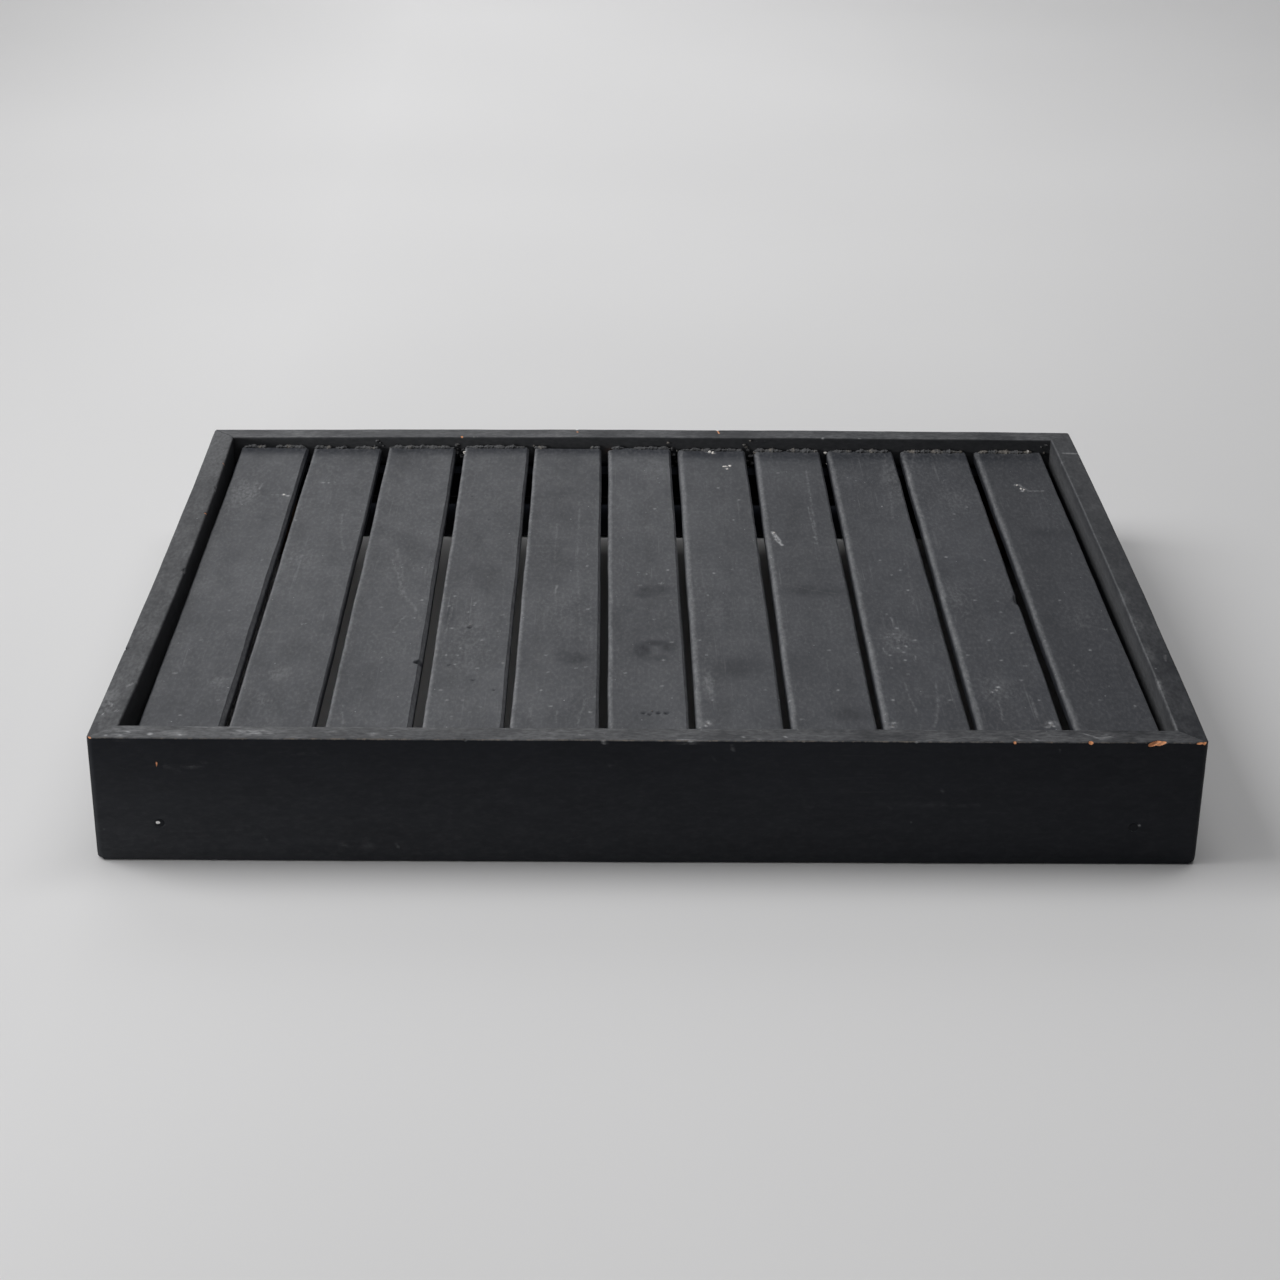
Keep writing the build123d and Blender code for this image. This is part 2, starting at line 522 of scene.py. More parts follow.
class Graph:
    """A material's nodes, added one call at a time, each call returning what the next one needs."""

    def __init__(self, name: str) -> None:
        """Starts an empty material of that name with one shader."""
        self.material = bpy.data.materials.new(name)
        self.material.use_nodes = True
        self.tree = self.material.node_tree
        self.tree.nodes.clear()
        output = self.tree.nodes.new("ShaderNodeOutputMaterial")
        self.shader = self.tree.nodes.new("ShaderNodeBsdfPrincipled")
        self.tree.links.new(self.shader.outputs["BSDF"], output.inputs["Surface"])
        self.place = self.add("ShaderNodeTexCoord").outputs["Object"]

    def add(self, kind: str, inputs: dict | None = None, **settings: object) -> bpy.types.Node:
        """Adds a node.

        Args:
            kind: The node's type.
            inputs: Values or outputs for its sockets, by name or number.
            settings: Its own settings.

        Returns:
            The node.
        """
        node = self.tree.nodes.new(kind)
        for key, value in settings.items():
            setattr(node, key, value)
        for key, value in (inputs or {}).items():
            self.set(node.inputs[key], value)
        return node

    def set(self, socket: bpy.types.NodeSocket, value: object) -> None:
        """Gives a socket a plain value, or links it to an output."""
        if isinstance(value, bpy.types.NodeSocket):
            self.tree.links.new(value, socket)
        else:
            socket.default_value = value

    def math(self, kind: str, *values: object, clamp: bool = False) -> bpy.types.NodeSocket:
        """One step of arithmetic on its values, such as SUBTRACT or MAXIMUM."""
        inputs = dict(enumerate(values))
        return self.add("ShaderNodeMath", inputs, operation=kind, use_clamp=clamp).outputs[0]

    def plus(self, *values: object) -> bpy.types.NodeSocket:
        """The sum of its values."""
        return reduce(lambda total, value: self.math("ADD", total, value), values)

    def times(self, *values: object) -> bpy.types.NodeSocket:
        """The product of its values."""
        return reduce(lambda total, value: self.math("MULTIPLY", total, value), values)

    def noise(self, noise: Noise, grain: Grain = Grain.NONE) -> bpy.types.NodeSocket:
        """The value of a noise, about one half, drawn out along the grain."""
        scale = tuple(noise.along if axis == grain.value else noise.across for axis in range(3))
        moved = {"Vector": self.place, "Scale": scale, "Location": (noise.shift,) * 3}
        layers = {"Scale": 1.0, "Detail": noise.detail, "Roughness": noise.coarse}
        mapping = self.add("ShaderNodeMapping", moved)
        return self.add("ShaderNodeTexNoise", {"Vector": mapping.outputs[0], **layers}).outputs["Fac"]

    def between(
        self, value: object, low: float, high: float, to_low: float = 0.0, to_high: float = 1.0
    ) -> bpy.types.NodeSocket:
        """A value carried evenly from one range to another, and held at its ends."""
        inputs = {0: value, 1: low, 2: high, 3: to_low, 4: to_high}
        return self.add("ShaderNodeMapRange", inputs, clamp=True).outputs[0]

    def mix(self, share: object, first: object, second: object) -> bpy.types.NodeSocket:
        """Two colours mixed by share, from the first at 0 to the second at 1."""
        node = self.add("ShaderNodeMix", data_type="RGBA")
        self.set(node.inputs[0], share)
        for socket, value in ((node.inputs[6], first), (node.inputs[7], second)):
            self.set(socket, (*value, 1.0) if isinstance(value, tuple) else value)
        return node.outputs[2]

    def trait(self, kind: Trait) -> bpy.types.NodeSocket:
        """A trait of the mesh."""
        return self.add("ShaderNodeAttribute", attribute_name=kind.value).outputs["Fac"]

    def specks(
        self, spacing: float, size: float, share: float, shift: float, soft: float = 0.03
    ) -> bpy.types.NodeSocket:
        """Scattered round specks.

        Args:
            spacing: The side of the cell that may hold one, in millimetres.
            size: The widest speck's radius, in millimetres.
            share: The share of the cells that hold one.
            shift: How far the pattern is moved, so that two scatters differ.
            soft: How wide a speck's soft edge is, in cells.

        Returns:
            One on a speck, and nothing off it.
        """
        moved = {"Vector": self.place, "Location": (shift, shift, shift)}
        mapping = self.add("ShaderNodeMapping", moved)
        scaled = {"Vector": mapping.outputs[0], "Scale": 1 / (spacing * MM)}
        cells = self.add("ShaderNodeTexVoronoi", scaled)
        draw = self.add("ShaderNodeSeparateColor", {0: cells.outputs["Color"]})
        radius = self.times(draw.outputs[1], size / spacing)
        inside = self.between(self.math("SUBTRACT", radius, cells.outputs["Distance"]), 0.0, soft)
        return self.times(inside, self.math("LESS_THAN", draw.outputs[0], share))

    def bump(self, height: object, depth: float, below: object = None) -> bpy.types.NodeSocket:
        """A bump of that depth in millimetres, on top of another bump if there is one."""
        inputs = {"Height": height, "Distance": depth * MM, "Strength": 1.0}
        if below is not None:
            inputs["Normal"] = below
        return self.add("ShaderNodeBump", inputs).outputs[0]

    def finish(self, **sockets: object) -> bpy.types.Material:
        """Sets the shader's sockets, whose names are given with _ for a space, and returns the material."""
        for key, value in sockets.items():
            socket = self.shader.inputs[key.replace("_", " ")]
            self.set(socket, (*value, 1.0) if isinstance(value, tuple) and len(value) == 3 else value)
        return self.material


@dataclass(frozen=True)
class Paint:
    """Matt black paint on wood: cloudy, faintly brushed, dusty, speckled, scuffed and worn to the wood.

    Each span is the range of a noise or a trait over which something shows. Specks have the spacing, the
    size, the share and the shift that Graph.specks takes.
    """

    name: str
    grain: Grain
    deep: Colour = (0.0085, 0.0103, 0.0155)
    light: Colour = (0.027, 0.0305, 0.04)
    pale: Colour = (0.41, 0.415, 0.425)
    worn: Colour = (0.19, 0.165, 0.14)
    wood: Colour = (0.78, 0.34, 0.16)
    dust: float = 0.035
    fleck: float = 0.07
    speck: float = 0.85
    scratch: float = 0.12
    patchiness: float = 0.5
    brushing: float = 0.06
    roughness: float = 0.5
    gloss: float = 0.41
    cloud: Noise = Noise(17, 9, 6, 0.65)
    mottle: Noise = Noise(150, 65, 4, 0.65, 8.8)
    streak: Noise = Noise(330, 5, 5, 0.6, 3.1)
    fine: Noise = Noise(750, 330, 3, 0.6, 1.7)
    ragged: Noise = Noise(420, 420, 5, 0.7, 7.7)
    dust_cloud: Noise = Noise(55, 30, 6, 0.72, 5.3)
    brush_lines: Noise = Noise(1300, 26, 2, 0.5, 4.4)
    line_cloud: Noise = Noise(45, 20, 3, 0.6, 9.1)
    large_specks: tuple[float, float, float, float] = (8.0, 0.55, 0.2, 0.0)
    small_specks: tuple[float, float, float, float] = (3.1, 0.32, 0.42, 0.4)
    facing_up: Span = (0.3, 0.95)
    dust_fine_span: Span = (0.35, 0.65, 0.55, 1.45)
    dust_cloud_span: Span = (0.36, 0.66, 0.25, 1.5)
    fleck_span: Span = (0.48, 0.74)
    line_span: Span = (0.6, 0.72)
    line_cloud_span: Span = (0.5, 0.68)
    small_speck_span: Span = (0.4, 0.6, 0.25, 1.0)
    cloud_tone: Span = (0.3, 0.7, 0, 0.45)
    mottle_tone: Span = (0.3, 0.7, 0, 0.3)
    streak_tone: Span = (0.3, 0.7, 0, 0.25)
    stain_span: Span = (0.36, 0.6, 0.25, 1.5)
    fine_gap: float = 0.6
    mottle_gap: float = 0.4
    mark_span: Span = (0.4, 0.58, 0.1, 1.4)
    patch_span: Span = (0.36, 0.64)
    wear_raggedness: float = 1.1
    wear_span: Span = (1.15, 1.45)
    bare_raggedness: float = 0.9
    bare_span: Span = (0.42, 0.58)
    wood_span: Span = (0.5, 0.85)
    rough_span: Span = (0.15, 0.6, 0.06, -0.06)
    stain_roughness: float = 0.2
    pale_roughness: float = 0.3
    mottle_depth: float = 0.1
    fine_depth: float = 0.04
    speck_depth: float = 0.02

    def dusted(
        self, g: Graph, mottle: bpy.types.NodeSocket, fine: bpy.types.NodeSocket
    ) -> tuple[bpy.types.NodeSocket, bpy.types.NodeSocket]:
        """The shares of pale that lie on the paint everywhere, and the specks among them.

        Dust lies in clouds on faces that look up, flecks where the fine noise is high, and brush scratches
        run along the grain inside some clouds.

        Args:
            g: The material's graph.
            mottle: A noise of blotches.
            fine: A noise of grains.

        Returns:
            The sum of the shares, and the specks alone.
        """
        normal = g.add("ShaderNodeNewGeometry").outputs["True Normal"]
        upward = g.add("ShaderNodeSeparateXYZ", {0: normal}).outputs["Z"]
        settled = g.times(g.between(upward, *self.facing_up), self.dust)
        settled = g.times(settled, g.between(fine, *self.dust_fine_span))
        cloud = g.noise(self.dust_cloud, self.grain)
        dust = g.times(g.between(cloud, *self.dust_cloud_span), settled)
        flecks = g.times(g.between(fine, *self.fleck_span), self.fleck)
        lines = g.between(g.noise(self.brush_lines, self.grain), *self.line_span)
        shown = g.between(g.noise(self.line_cloud, self.grain), *self.line_cloud_span, 0, self.scratch)
        small = g.times(g.specks(*self.small_specks), g.between(mottle, *self.small_speck_span))
        specks = g.math("MAXIMUM", g.specks(*self.large_specks), small)
        return g.plus(g.times(lines, shown), g.times(specks, self.speck), g.plus(dust, flecks)), specks

    def material(self) -> bpy.types.Material:
        """The paint's material.

        The colour starts between deep and light by cloud and grain. Stains draw it back to deep, dust, the
        mesh's painted light and scuffs lift it, wear shows the worn tone along arrises where a ragged noise
        lets it, and bare places show wood. Roughness follows the same marks, and the bump adds grain and
        brush lines.

        Returns:
            The material.
        """
        g = Graph(self.name)
        noises = (self.cloud, self.mottle, self.streak, self.fine, self.ragged)
        cloud, mottle, streak, fine, ragged = (g.noise(noise, self.grain) for noise in noises)
        uneven = g.plus(g.between(cloud, *self.cloud_tone), g.between(mottle, *self.mottle_tone))
        lightness = g.plus(uneven, g.between(streak, *self.streak_tone))
        blotched = g.between(mottle, *self.stain_span)
        stain = g.math("MULTIPLY", g.trait(Trait.STAIN), blotched, clamp=True)
        clean = g.math("SUBTRACT", 1.0, stain)
        everywhere, specks = self.dusted(g, mottle, fine)
        gaps = g.plus(g.times(fine, self.fine_gap), g.times(mottle, self.mottle_gap))
        marked = g.times(g.trait(Trait.PALE), g.between(gaps, *self.mark_span))
        patchy = g.between(gaps, *self.patch_span, 1 - self.patchiness, 1 + self.patchiness)
        # The mesh's painted light and dust, broken into patches, and the paint's own dust and specks lift
        # the colour
        lifted = g.plus(g.times(g.trait(Trait.HAZE), patchy), g.times(everywhere, clean))
        pale = g.math("ADD", marked, lifted, clamp=True)
        frayed = g.plus(g.trait(Trait.WEAR), g.times(ragged, self.wear_raggedness))
        wear = g.between(frayed, *self.wear_span)
        torn = g.times(g.math("SUBTRACT", ragged, 0.5), self.bare_raggedness)
        bare = g.between(g.plus(g.trait(Trait.BARE), torn), *self.bare_span)
        colour = g.mix(g.times(lightness, clean), self.deep, self.light)
        colour = g.mix(pale, colour, self.pale)
        colour = g.mix(wear, colour, self.worn)
        colour = g.mix(bare, colour, g.mix(g.between(fine, *self.wood_span), self.wood, self.worn))
        rough = g.plus(g.between(uneven, *self.rough_span), self.roughness)
        rough = g.plus(rough, g.times(stain, self.stain_roughness))
        chalky = g.times(g.math("MAXIMUM", pale, bare), self.pale_roughness)
        rough = g.math("ADD", rough, chalky, clamp=True)
        normal = g.bump(streak, self.brushing)
        normal = g.bump(mottle, self.mottle_depth, normal)
        normal = g.bump(fine, self.fine_depth, normal)
        normal = g.bump(g.math("SUBTRACT", specks, bare), self.speck_depth, normal)
        return g.finish(Base_Color=colour, Roughness=rough, Normal=normal, Specular_IOR_Level=self.gloss)


@dataclass(frozen=True)
class BlockWood:
    """Plain sawn wood, stained brown and rubbed with stray paint."""

    name: str = "block_wood"
    dark: Colour = (0.075, 0.04, 0.022)
    light: Colour = (0.2, 0.115, 0.06)
    paint: Colour = (0.018, 0.018, 0.02)
    fibres: Noise = Noise(520, 24, 6, 0.65)
    rings: Noise = Noise(90, 6, 2, 0.5, 2.2)
    smears: Noise = Noise(60, 60, 5, 0.7, 4.0)
    fibre_tone: Span = (0.3, 0.7, 0, 0.6)
    ring_tone: Span = (0.35, 0.65, 0, 0.4)
    smear_span: Span = (0.52, 0.6)
    roughness: Span = (0.2, 0.8, 0.7, 0.9)
    depth: float = 0.08

    def material(self) -> bpy.types.Material:
        """Wood whose tone follows long fibres up the block, with paint where a slow noise is high."""
        g = Graph(self.name)
        noises = (self.fibres, self.rings, self.smears)
        fibre, ring, smear = (g.noise(noise, Grain.ALONG_Z) for noise in noises)
        tone = g.plus(g.between(fibre, *self.fibre_tone), g.between(ring, *self.ring_tone))
        colour = g.mix(tone, self.dark, self.light)
        colour = g.mix(g.between(smear, *self.smear_span), colour, self.paint)
        rough, normal = g.between(fibre, *self.roughness), g.bump(fibre, self.depth)
        return g.finish(Base_Color=colour, Roughness=rough, Normal=normal)


@dataclass(frozen=True)
class NailPaint:
    """A steel nail head under paint that has flaked off in spots, with a pale spot on one head."""

    name: str = "nail_paint"
    paint: Colour = (0.0115, 0.0128, 0.016)
    steel: Colour = (0.62, 0.61, 0.58)
    spot_tone: Colour = (0.85, 0.84, 0.82)
    flaked: tuple[float, float] = (0.71, 0.75)
    spot: tuple[float, float] = (-176.7, 15.7)
    spot_size: float = 0.72
    spot_squash: tuple[float, float] = (0.75, 1.1)
    spot_edge: float = 0.15
    spot_raggedness: float = 0.4
    flakes: Noise = Noise(700, 700, 3, 0.6, 0.9)
    roughness: tuple[float, float] = (0.6, 0.38)
    depth: float = 0.04
    gloss: float = 0.14

    def material(self) -> bpy.types.Material:
        """Paint, with steel where a fine noise is above the flaked range, and a pale tone at the spot.

        The spot is where the distance from a line square to the front board, with the fine noise added to
        it, is below the spot's size.

        Returns:
            The material.
        """
        g = Graph(self.name)
        noise = g.noise(self.flakes)
        flaked = g.between(noise, *self.flaked)
        place = g.add("ShaderNodeSeparateXYZ", {0: g.place}).outputs
        across, up = (
            g.times(g.math("SUBTRACT", place[axis], middle * MM), squash / MM)
            for axis, middle, squash in zip((0, 2), self.spot, self.spot_squash)
        )
        away = g.math("SQRT", g.plus(g.math("POWER", across, 2.0), g.math("POWER", up, 2.0)))
        away = g.plus(away, g.times(noise, self.spot_raggedness))
        in_front = g.math("LESS_THAN", place[1], MM * (BOARD_THICKNESS - TRAY_DEPTH / 2))
        spot = g.times(g.between(away, self.spot_size, self.spot_size + self.spot_edge, 1, 0), in_front)
        colour = g.mix(spot, g.mix(flaked, self.paint, self.steel), self.spot_tone)
        metal = g.times(flaked, g.math("SUBTRACT", 1.0, spot))
        rough, normal = g.between(metal, 0, 1, *self.roughness), g.bump(noise, self.depth)
        return g.finish(
            Base_Color=colour, Metallic=metal, Roughness=rough, Normal=normal, Specular_IOR_Level=self.gloss
        )


@dataclass(frozen=True)
class GlueAndDust:
    """Dried glue, dust and chips: near black under paint, pale tan where bare, white where fully so."""

    name: str = "glue_and_dust"
    dark: Colour = (0.02, 0.021, 0.024)
    tan: Colour = (0.17, 0.155, 0.138)
    grey: Colour = (0.1, 0.101, 0.106)
    white: Colour = (0.75, 0.72, 0.68)
    slow: Noise = Noise(120, 120, 5, 0.65)
    fine: Noise = Noise(1100, 1100, 4, 0.65, 6.1)
    raggedness: float = 1.6
    grey_span: Span = (0.36, 0.56, 0.3, 0.8)
    tan_span: Span = (0.35, 0.75)
    white_span: Span = (0.94, 0.98)
    roughness: Span = (0.3, 0.7, 0.6, 0.85)
    depth: float = 0.12

    def material(self) -> bpy.types.Material:
        """Dark to grey by a slow noise, tan where the pale trait is high, and white where it is full.

        A fine noise is added to the trait before it shows the tan.

        Returns:
            The material.
        """
        g = Graph(self.name)
        slow, fine, pale = g.noise(self.slow), g.noise(self.fine), g.trait(Trait.PALE)
        shown = g.plus(pale, g.times(g.math("SUBTRACT", fine, 0.5), self.raggedness))
        colour = g.mix(g.between(slow, *self.grey_span), self.dark, self.grey)
        colour = g.mix(g.between(shown, *self.tan_span), colour, self.tan)
        colour = g.mix(g.between(pale, *self.white_span), colour, self.white)
        rough, normal = g.between(slow, *self.roughness), g.bump(fine, self.depth)
        return g.finish(Base_Color=colour, Roughness=rough, Normal=normal)


@dataclass(frozen=True)
class FramePaint(Paint):
    """The frame's paint, which is duller and darker than the deck's, with more dust on the rim."""

    light: Colour = (0.0105, 0.0122, 0.0168)
    deep: Colour = (0.0055, 0.0065, 0.0094)
    dust: float = 0.14
    fleck: float = 0.008
    speck: float = 0.3
    scratch: float = 0.01
    patchiness: float = 0.2
    brushing: float = 0.02
    gloss: float = 0.14


class Side(Enum):
    """A side of the frame: where its middle lies, the way along it and the way into the tray, in plan."""

    FRONT = ((0, -1), (1, 0), (0, 1))
    REAR = ((0, 1), (-1, 0), (0, -1))
    LEFT = ((-1, 0), (0, -1), (1, 0))
    RIGHT = ((1, 0), (0, 1), (-1, 0))

    def __init__(self, middle: tuple[int, int], along: tuple[int, int], inward: tuple[int, int]) -> None:
        """Works out the middle of its outer face in plan, its two directions and half its length."""
        self.middle = np.array(middle) * HALF_PLAN
        self.along = np.array(along, float)
        self.inward = np.array(inward, float)
        self.half = float(abs(self.along) @ HALF_PLAN)


@dataclass
class Board:
    """A frame board on edge, mitred at both ends, a little bowed, with soft arrises and chips."""

    node: str
    side: Side
    paint: Paint
    nail_level: float
    chips: tuple[Chip, ...]
    seed: int
    bow_out: float = 0.0
    bow_up: float = 0.0
    bow_in: float = 0.0
    rise: tuple[float, float] = (0.0, 0.0)
    hollow: float = 0.0
    # Painted light, with dust on the rim: the inner face painted lighter for the light on it, the rim a
    # painted sheen, and the outer face's foot painted lighter for the floor's bounce light; each goes from
    # the board's start to its end, and the inner face's can grow towards the deck against the shade there
    inner_painted_light: tuple[float, float] = (0.0, 0.0)
    rim_dust_and_sheen: tuple[float, float] = (0.0, 0.0)
    foot_painted_light: tuple[float, float] = (0.0, 0.0)
    haze_rise: float = 0.0
    outer_wear: float = 0.8
    inner_wear: float = 0.2
    foot_wear: float = 0.5
    rim_round: float = 0.8
    foot_round: float = 1.0
    corner_radius: float = 2.4
    mitre_gap: float = 0.04
    hollow_share: float = 0.86
    rim_ripple: tuple[float, float] = (0.05, 90)
    face_ripple: tuple[float, float] = (0.06, 120)
    haze_limits: tuple[float, float] = (-0.45, 0.9)
    wear_reaches: tuple[float, float, float] = (1.4, 1.2, 1.6)
    nail_radius: float = 1.6
    nail_edge: float = 0.3
    nail_depth: float = 0.2

    def section(self) -> tuple[np.ndarray, np.ndarray]:
        """The board's section, as depths in from its outer face and heights, round from the outer foot.

        Returns:
            The depths and the heights, up the outer face, over the rim and down the inner face.
        """
        rim, foot, deep, top = self.rim_round, self.foot_round, BOARD_THICKNESS, TRAY_HEIGHT
        up = spaced(foot, top - rim, coarse=1.4, fine=0.3, near=(top, self.nail_level), reach=2.6)
        across = spaced(rim, deep - rim, coarse=0.6, fine=0.3, near=(0.0,), reach=1.5)
        down = spaced(top - rim, foot, coarse=1.6, fine=0.5, near=(top,), reach=4.0)
        under = np.linspace(deep - foot, foot, 8)
        arcs = (
            (rim, top - rim, *quarter_round(rim, 180, 6)),
            (deep - rim, top - rim, *quarter_round(rim, 90, 5)),
            (deep - foot, foot, *quarter_round(foot, 0, 3)),
            (foot, foot, *quarter_round(foot, -90, 3)),
        )
        rounds = [(x + dx[1:-1], z + dz[1:-1]) for x, z, dx, dz in arcs]
        flats = ((0 * up, up), (across, 0 * across + top), (0 * down + deep, down), (under, 0 * under))
        strips = [strip for pair in zip(flats, rounds) for strip in pair]
        depths, heights = (np.concatenate(each) for each in zip(*strips))
        return depths, heights

    def rim_level(self, share: float | np.ndarray) -> float | np.ndarray:
        """How high the rim is at a share of the board's length, by its bow and its rise."""
        return TRAY_HEIGHT + self.bow_up * (1 - share**2) + np.interp(share, (-1, 1), self.rise)

    def stations(self) -> np.ndarray:
        """Places along the outer face, close together at the ends and around nails and chips."""
        half = self.side.half
        near = [-half, half, NAIL_PLACE - half, half - NAIL_PLACE]
        near += [float(PHOTO.onto([chip.pixel], Face.RIM)[0][:2] @ self.side.along) for chip in self.chips]
        return spaced(-half, half, coarse=1.1, fine=0.3, near=near, reach=3.2)

    def surface(self) -> Surface:
        """The board's surface, before chips and marks.

        The section is carried along the board, and each ring's place along is scaled by how deep in the
        board it is, which makes both mitres. A parabola bows it out and up, the foot rises by the hollow's
        curve, and outer corners are drawn in to an arc in plan.

        Returns:
            The surface.
        """
        side, half = self.side, self.side.half
        depths, heights = self.section()
        places = self.stations()
        share = places / half
        arch = 1 - share**2
        foot = self.hollow * np.clip(1 - (share / self.hollow_share) ** 4, 0, None)
        top = self.rim_level(share) + Ripple(*self.rim_ripple, self.seed).at(places)
        z = foot[:, None] + (top - foot)[:, None] * heights / TRAY_HEIGHT
        run = np.clip(share[:, None] * (half - depths), -half, half)
        run -= np.sign(share)[:, None] * self.mitre_gap * (np.abs(share) == 1)[:, None]
        ripple = Ripple(*self.face_ripple, self.seed + 1).at(places)
        into = depths - (self.bow_out * arch + ripple * arch)[:, None]
        into += self.bow_in * arch[:, None] * depths / BOARD_THICKNESS
        plan = side.middle + run[..., None] * side.along + into[..., None] * side.inward
        rings = np.concatenate([plan, z[..., None]], axis=2)
        for axes in ((0, 1), (0, 1, 2)):
            rings = self.rounded(rings, axes)
        surface = loft(rings)
        # Painted light and dust on the inner face, the rim and low on the outer face
        surface.trait(Trait.HAZE)[: z.size] = self.painted_light_and_dust(share, depths, heights).ravel()
        return surface

    def painted_light_and_dust(self, share: np.ndarray, depths: np.ndarray, heights: np.ndarray) -> np.ndarray:
        """The painted light on the inner face, the dust and painted sheen on the rim, and the painted
        bounce light low on the outer face.

        Each goes evenly from its share at the board's start to its share at its end. The inner face's rises
        or falls with depth below the rim, lifting the shade near the deck where it rises, and the outer
        face's grows evenly towards the foot.

        Args:
            share: Where each ring is, from -1 at the board's start to 1 at its end.
            depths: How deep in from the outer face each point of a ring is.
            heights: How high each point of a ring is.

        Returns:
            The painted light and dust, by rings and points.
        """
        below = (TRAY_HEIGHT - heights) / (TRAY_HEIGHT - DECK_LEVEL)
        inner = (depths > BOARD_THICKNESS - 0.9 * self.rim_round) & (heights > SLAT_FOOT)
        places = (
            (self.inner_painted_light, inner * (1 + self.haze_rise * (below - 0.5).clip(*self.haze_limits))),
            (self.rim_dust_and_sheen, (heights > TRAY_HEIGHT - 0.5 * self.rim_round) & ~inner),
            (self.foot_painted_light, (depths < 0.5 * self.rim_round) * (1 - heights / TRAY_HEIGHT)),
        )
        return sum(np.interp(share, (-1, 1), ends)[:, None] * where for ends, where in places)

    def rounded(self, points: np.ndarray, axes: tuple[int, ...]) -> np.ndarray:
        """Draws points at the tray's outer corners in to a ball or an upright cylinder.

        A point that lies past the ball's middle along every one of the axes, and farther from it than the
        corner's radius, moves straight towards it until it is a radius away.

        Args:
            points: The points, whose last dimension is X, Y and Z.
            axes: The axes that count, X and Y alone for a cylinder.

        Returns:
            The moved points.
        """
        radius, corner = self.corner_radius, np.array([*HALF_PLAN, 0.0])
        outward = np.sign(points) * (1, 1, 0) - (0, 0, 1)
        past = outward * points - (outward * corner * outward - radius)
        past = past[..., list(axes)]
        reach = np.linalg.norm(past, axis=-1)
        outside = (past > 0).all(-1) & (reach > radius)
        moved = np.where(outside[..., None], past * (radius / np.maximum(reach, radius)[..., None] - 1), 0)
        result = points.copy()
        result[..., list(axes)] += outward[..., list(axes)] * moved
        return result

    def sink_nails(self, surface: Surface) -> None:
        """Sinks a shallow round hollow over each nail head, with a steep rim, so that the head shows."""
        plan, level = surface.points[:, :2] - self.side.middle, surface.points[:, 2]
        depth = plan @ self.side.inward
        for end in (-1, 1):
            beside = plan @ self.side.along - end * (self.side.half - NAIL_PLACE)
            away = np.hypot(beside, level - self.nail_level)
            share = np.clip((self.nail_radius + self.nail_edge - away) / self.nail_edge, 0, 1)
            sink = np.where(depth < BOARD_THICKNESS / 2, (self.nail_depth - depth) * share, 0)
            surface.points[:, :2] += sink[:, None] * self.side.inward

    def wear(self, surface: Surface) -> None:
        """Marks the outer, inner and foot arrises as worn: full on the arris, falling evenly to nothing."""
        height = surface.points[:, 2]
        depth = (surface.points[:, :2] - self.side.middle) @ self.side.inward
        arrises = (
            (self.outer_wear, depth, TRAY_HEIGHT - height),
            (self.inner_wear, BOARD_THICKNESS - depth, TRAY_HEIGHT - height),
            (self.foot_wear, depth, height),
        )
        worn = surface.trait(Trait.WEAR)
        for (strength, across, away), reach in zip(arrises, self.wear_reaches):
            worn[:] = np.maximum(worn, strength * (1 - np.hypot(across, away) / reach))

    def break_off(self, chip: Chip, surface: Surface) -> None:
        """Breaks a chip off the rim's outer or inner arris, wherever the board's bow has moved it."""
        side = self.side
        share = float(PHOTO.onto([chip.pixel], Face.RIM)[0][:2] @ side.along) / side.half
        arch = 1 - share**2
        into = BOARD_THICKNESS + self.bow_in * arch if chip.inner else 0.0
        plan = side.middle + (into - self.bow_out * arch) * side.inward
        outward = side.inward if chip.inner else -side.inward
        chip.cut(surface, Face.RIM, np.array([*plan, self.rim_level(share)]), np.array([*outward, 1.0]))

    def build(self) -> bpy.types.Object:
        """Makes the board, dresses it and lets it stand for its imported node."""
        surface = self.surface().with_every_trait()
        self.wear(surface)
        self.sink_nails(surface)
        for chip in self.chips:
            self.break_off(chip, surface)
        for marks in (RIM_SCUFFS, RIM_WOOD, FRONT_SCUFFS, FRONT_WOOD):
            marks.add_to(surface)
        return surface.place(f"worn_{self.node}", self.paint.material(), self.node, "frame_paint")


SLAT_PAINT = Paint("slat_paint", Grain.ALONG_Y)
# A darker, less dusty paint, used on the rightmost slat
DARKER_SLAT_PAINT = replace(SLAT_PAINT, name="slat_paint_right", light=(0.022, 0.025, 0.033), dust=0.022)


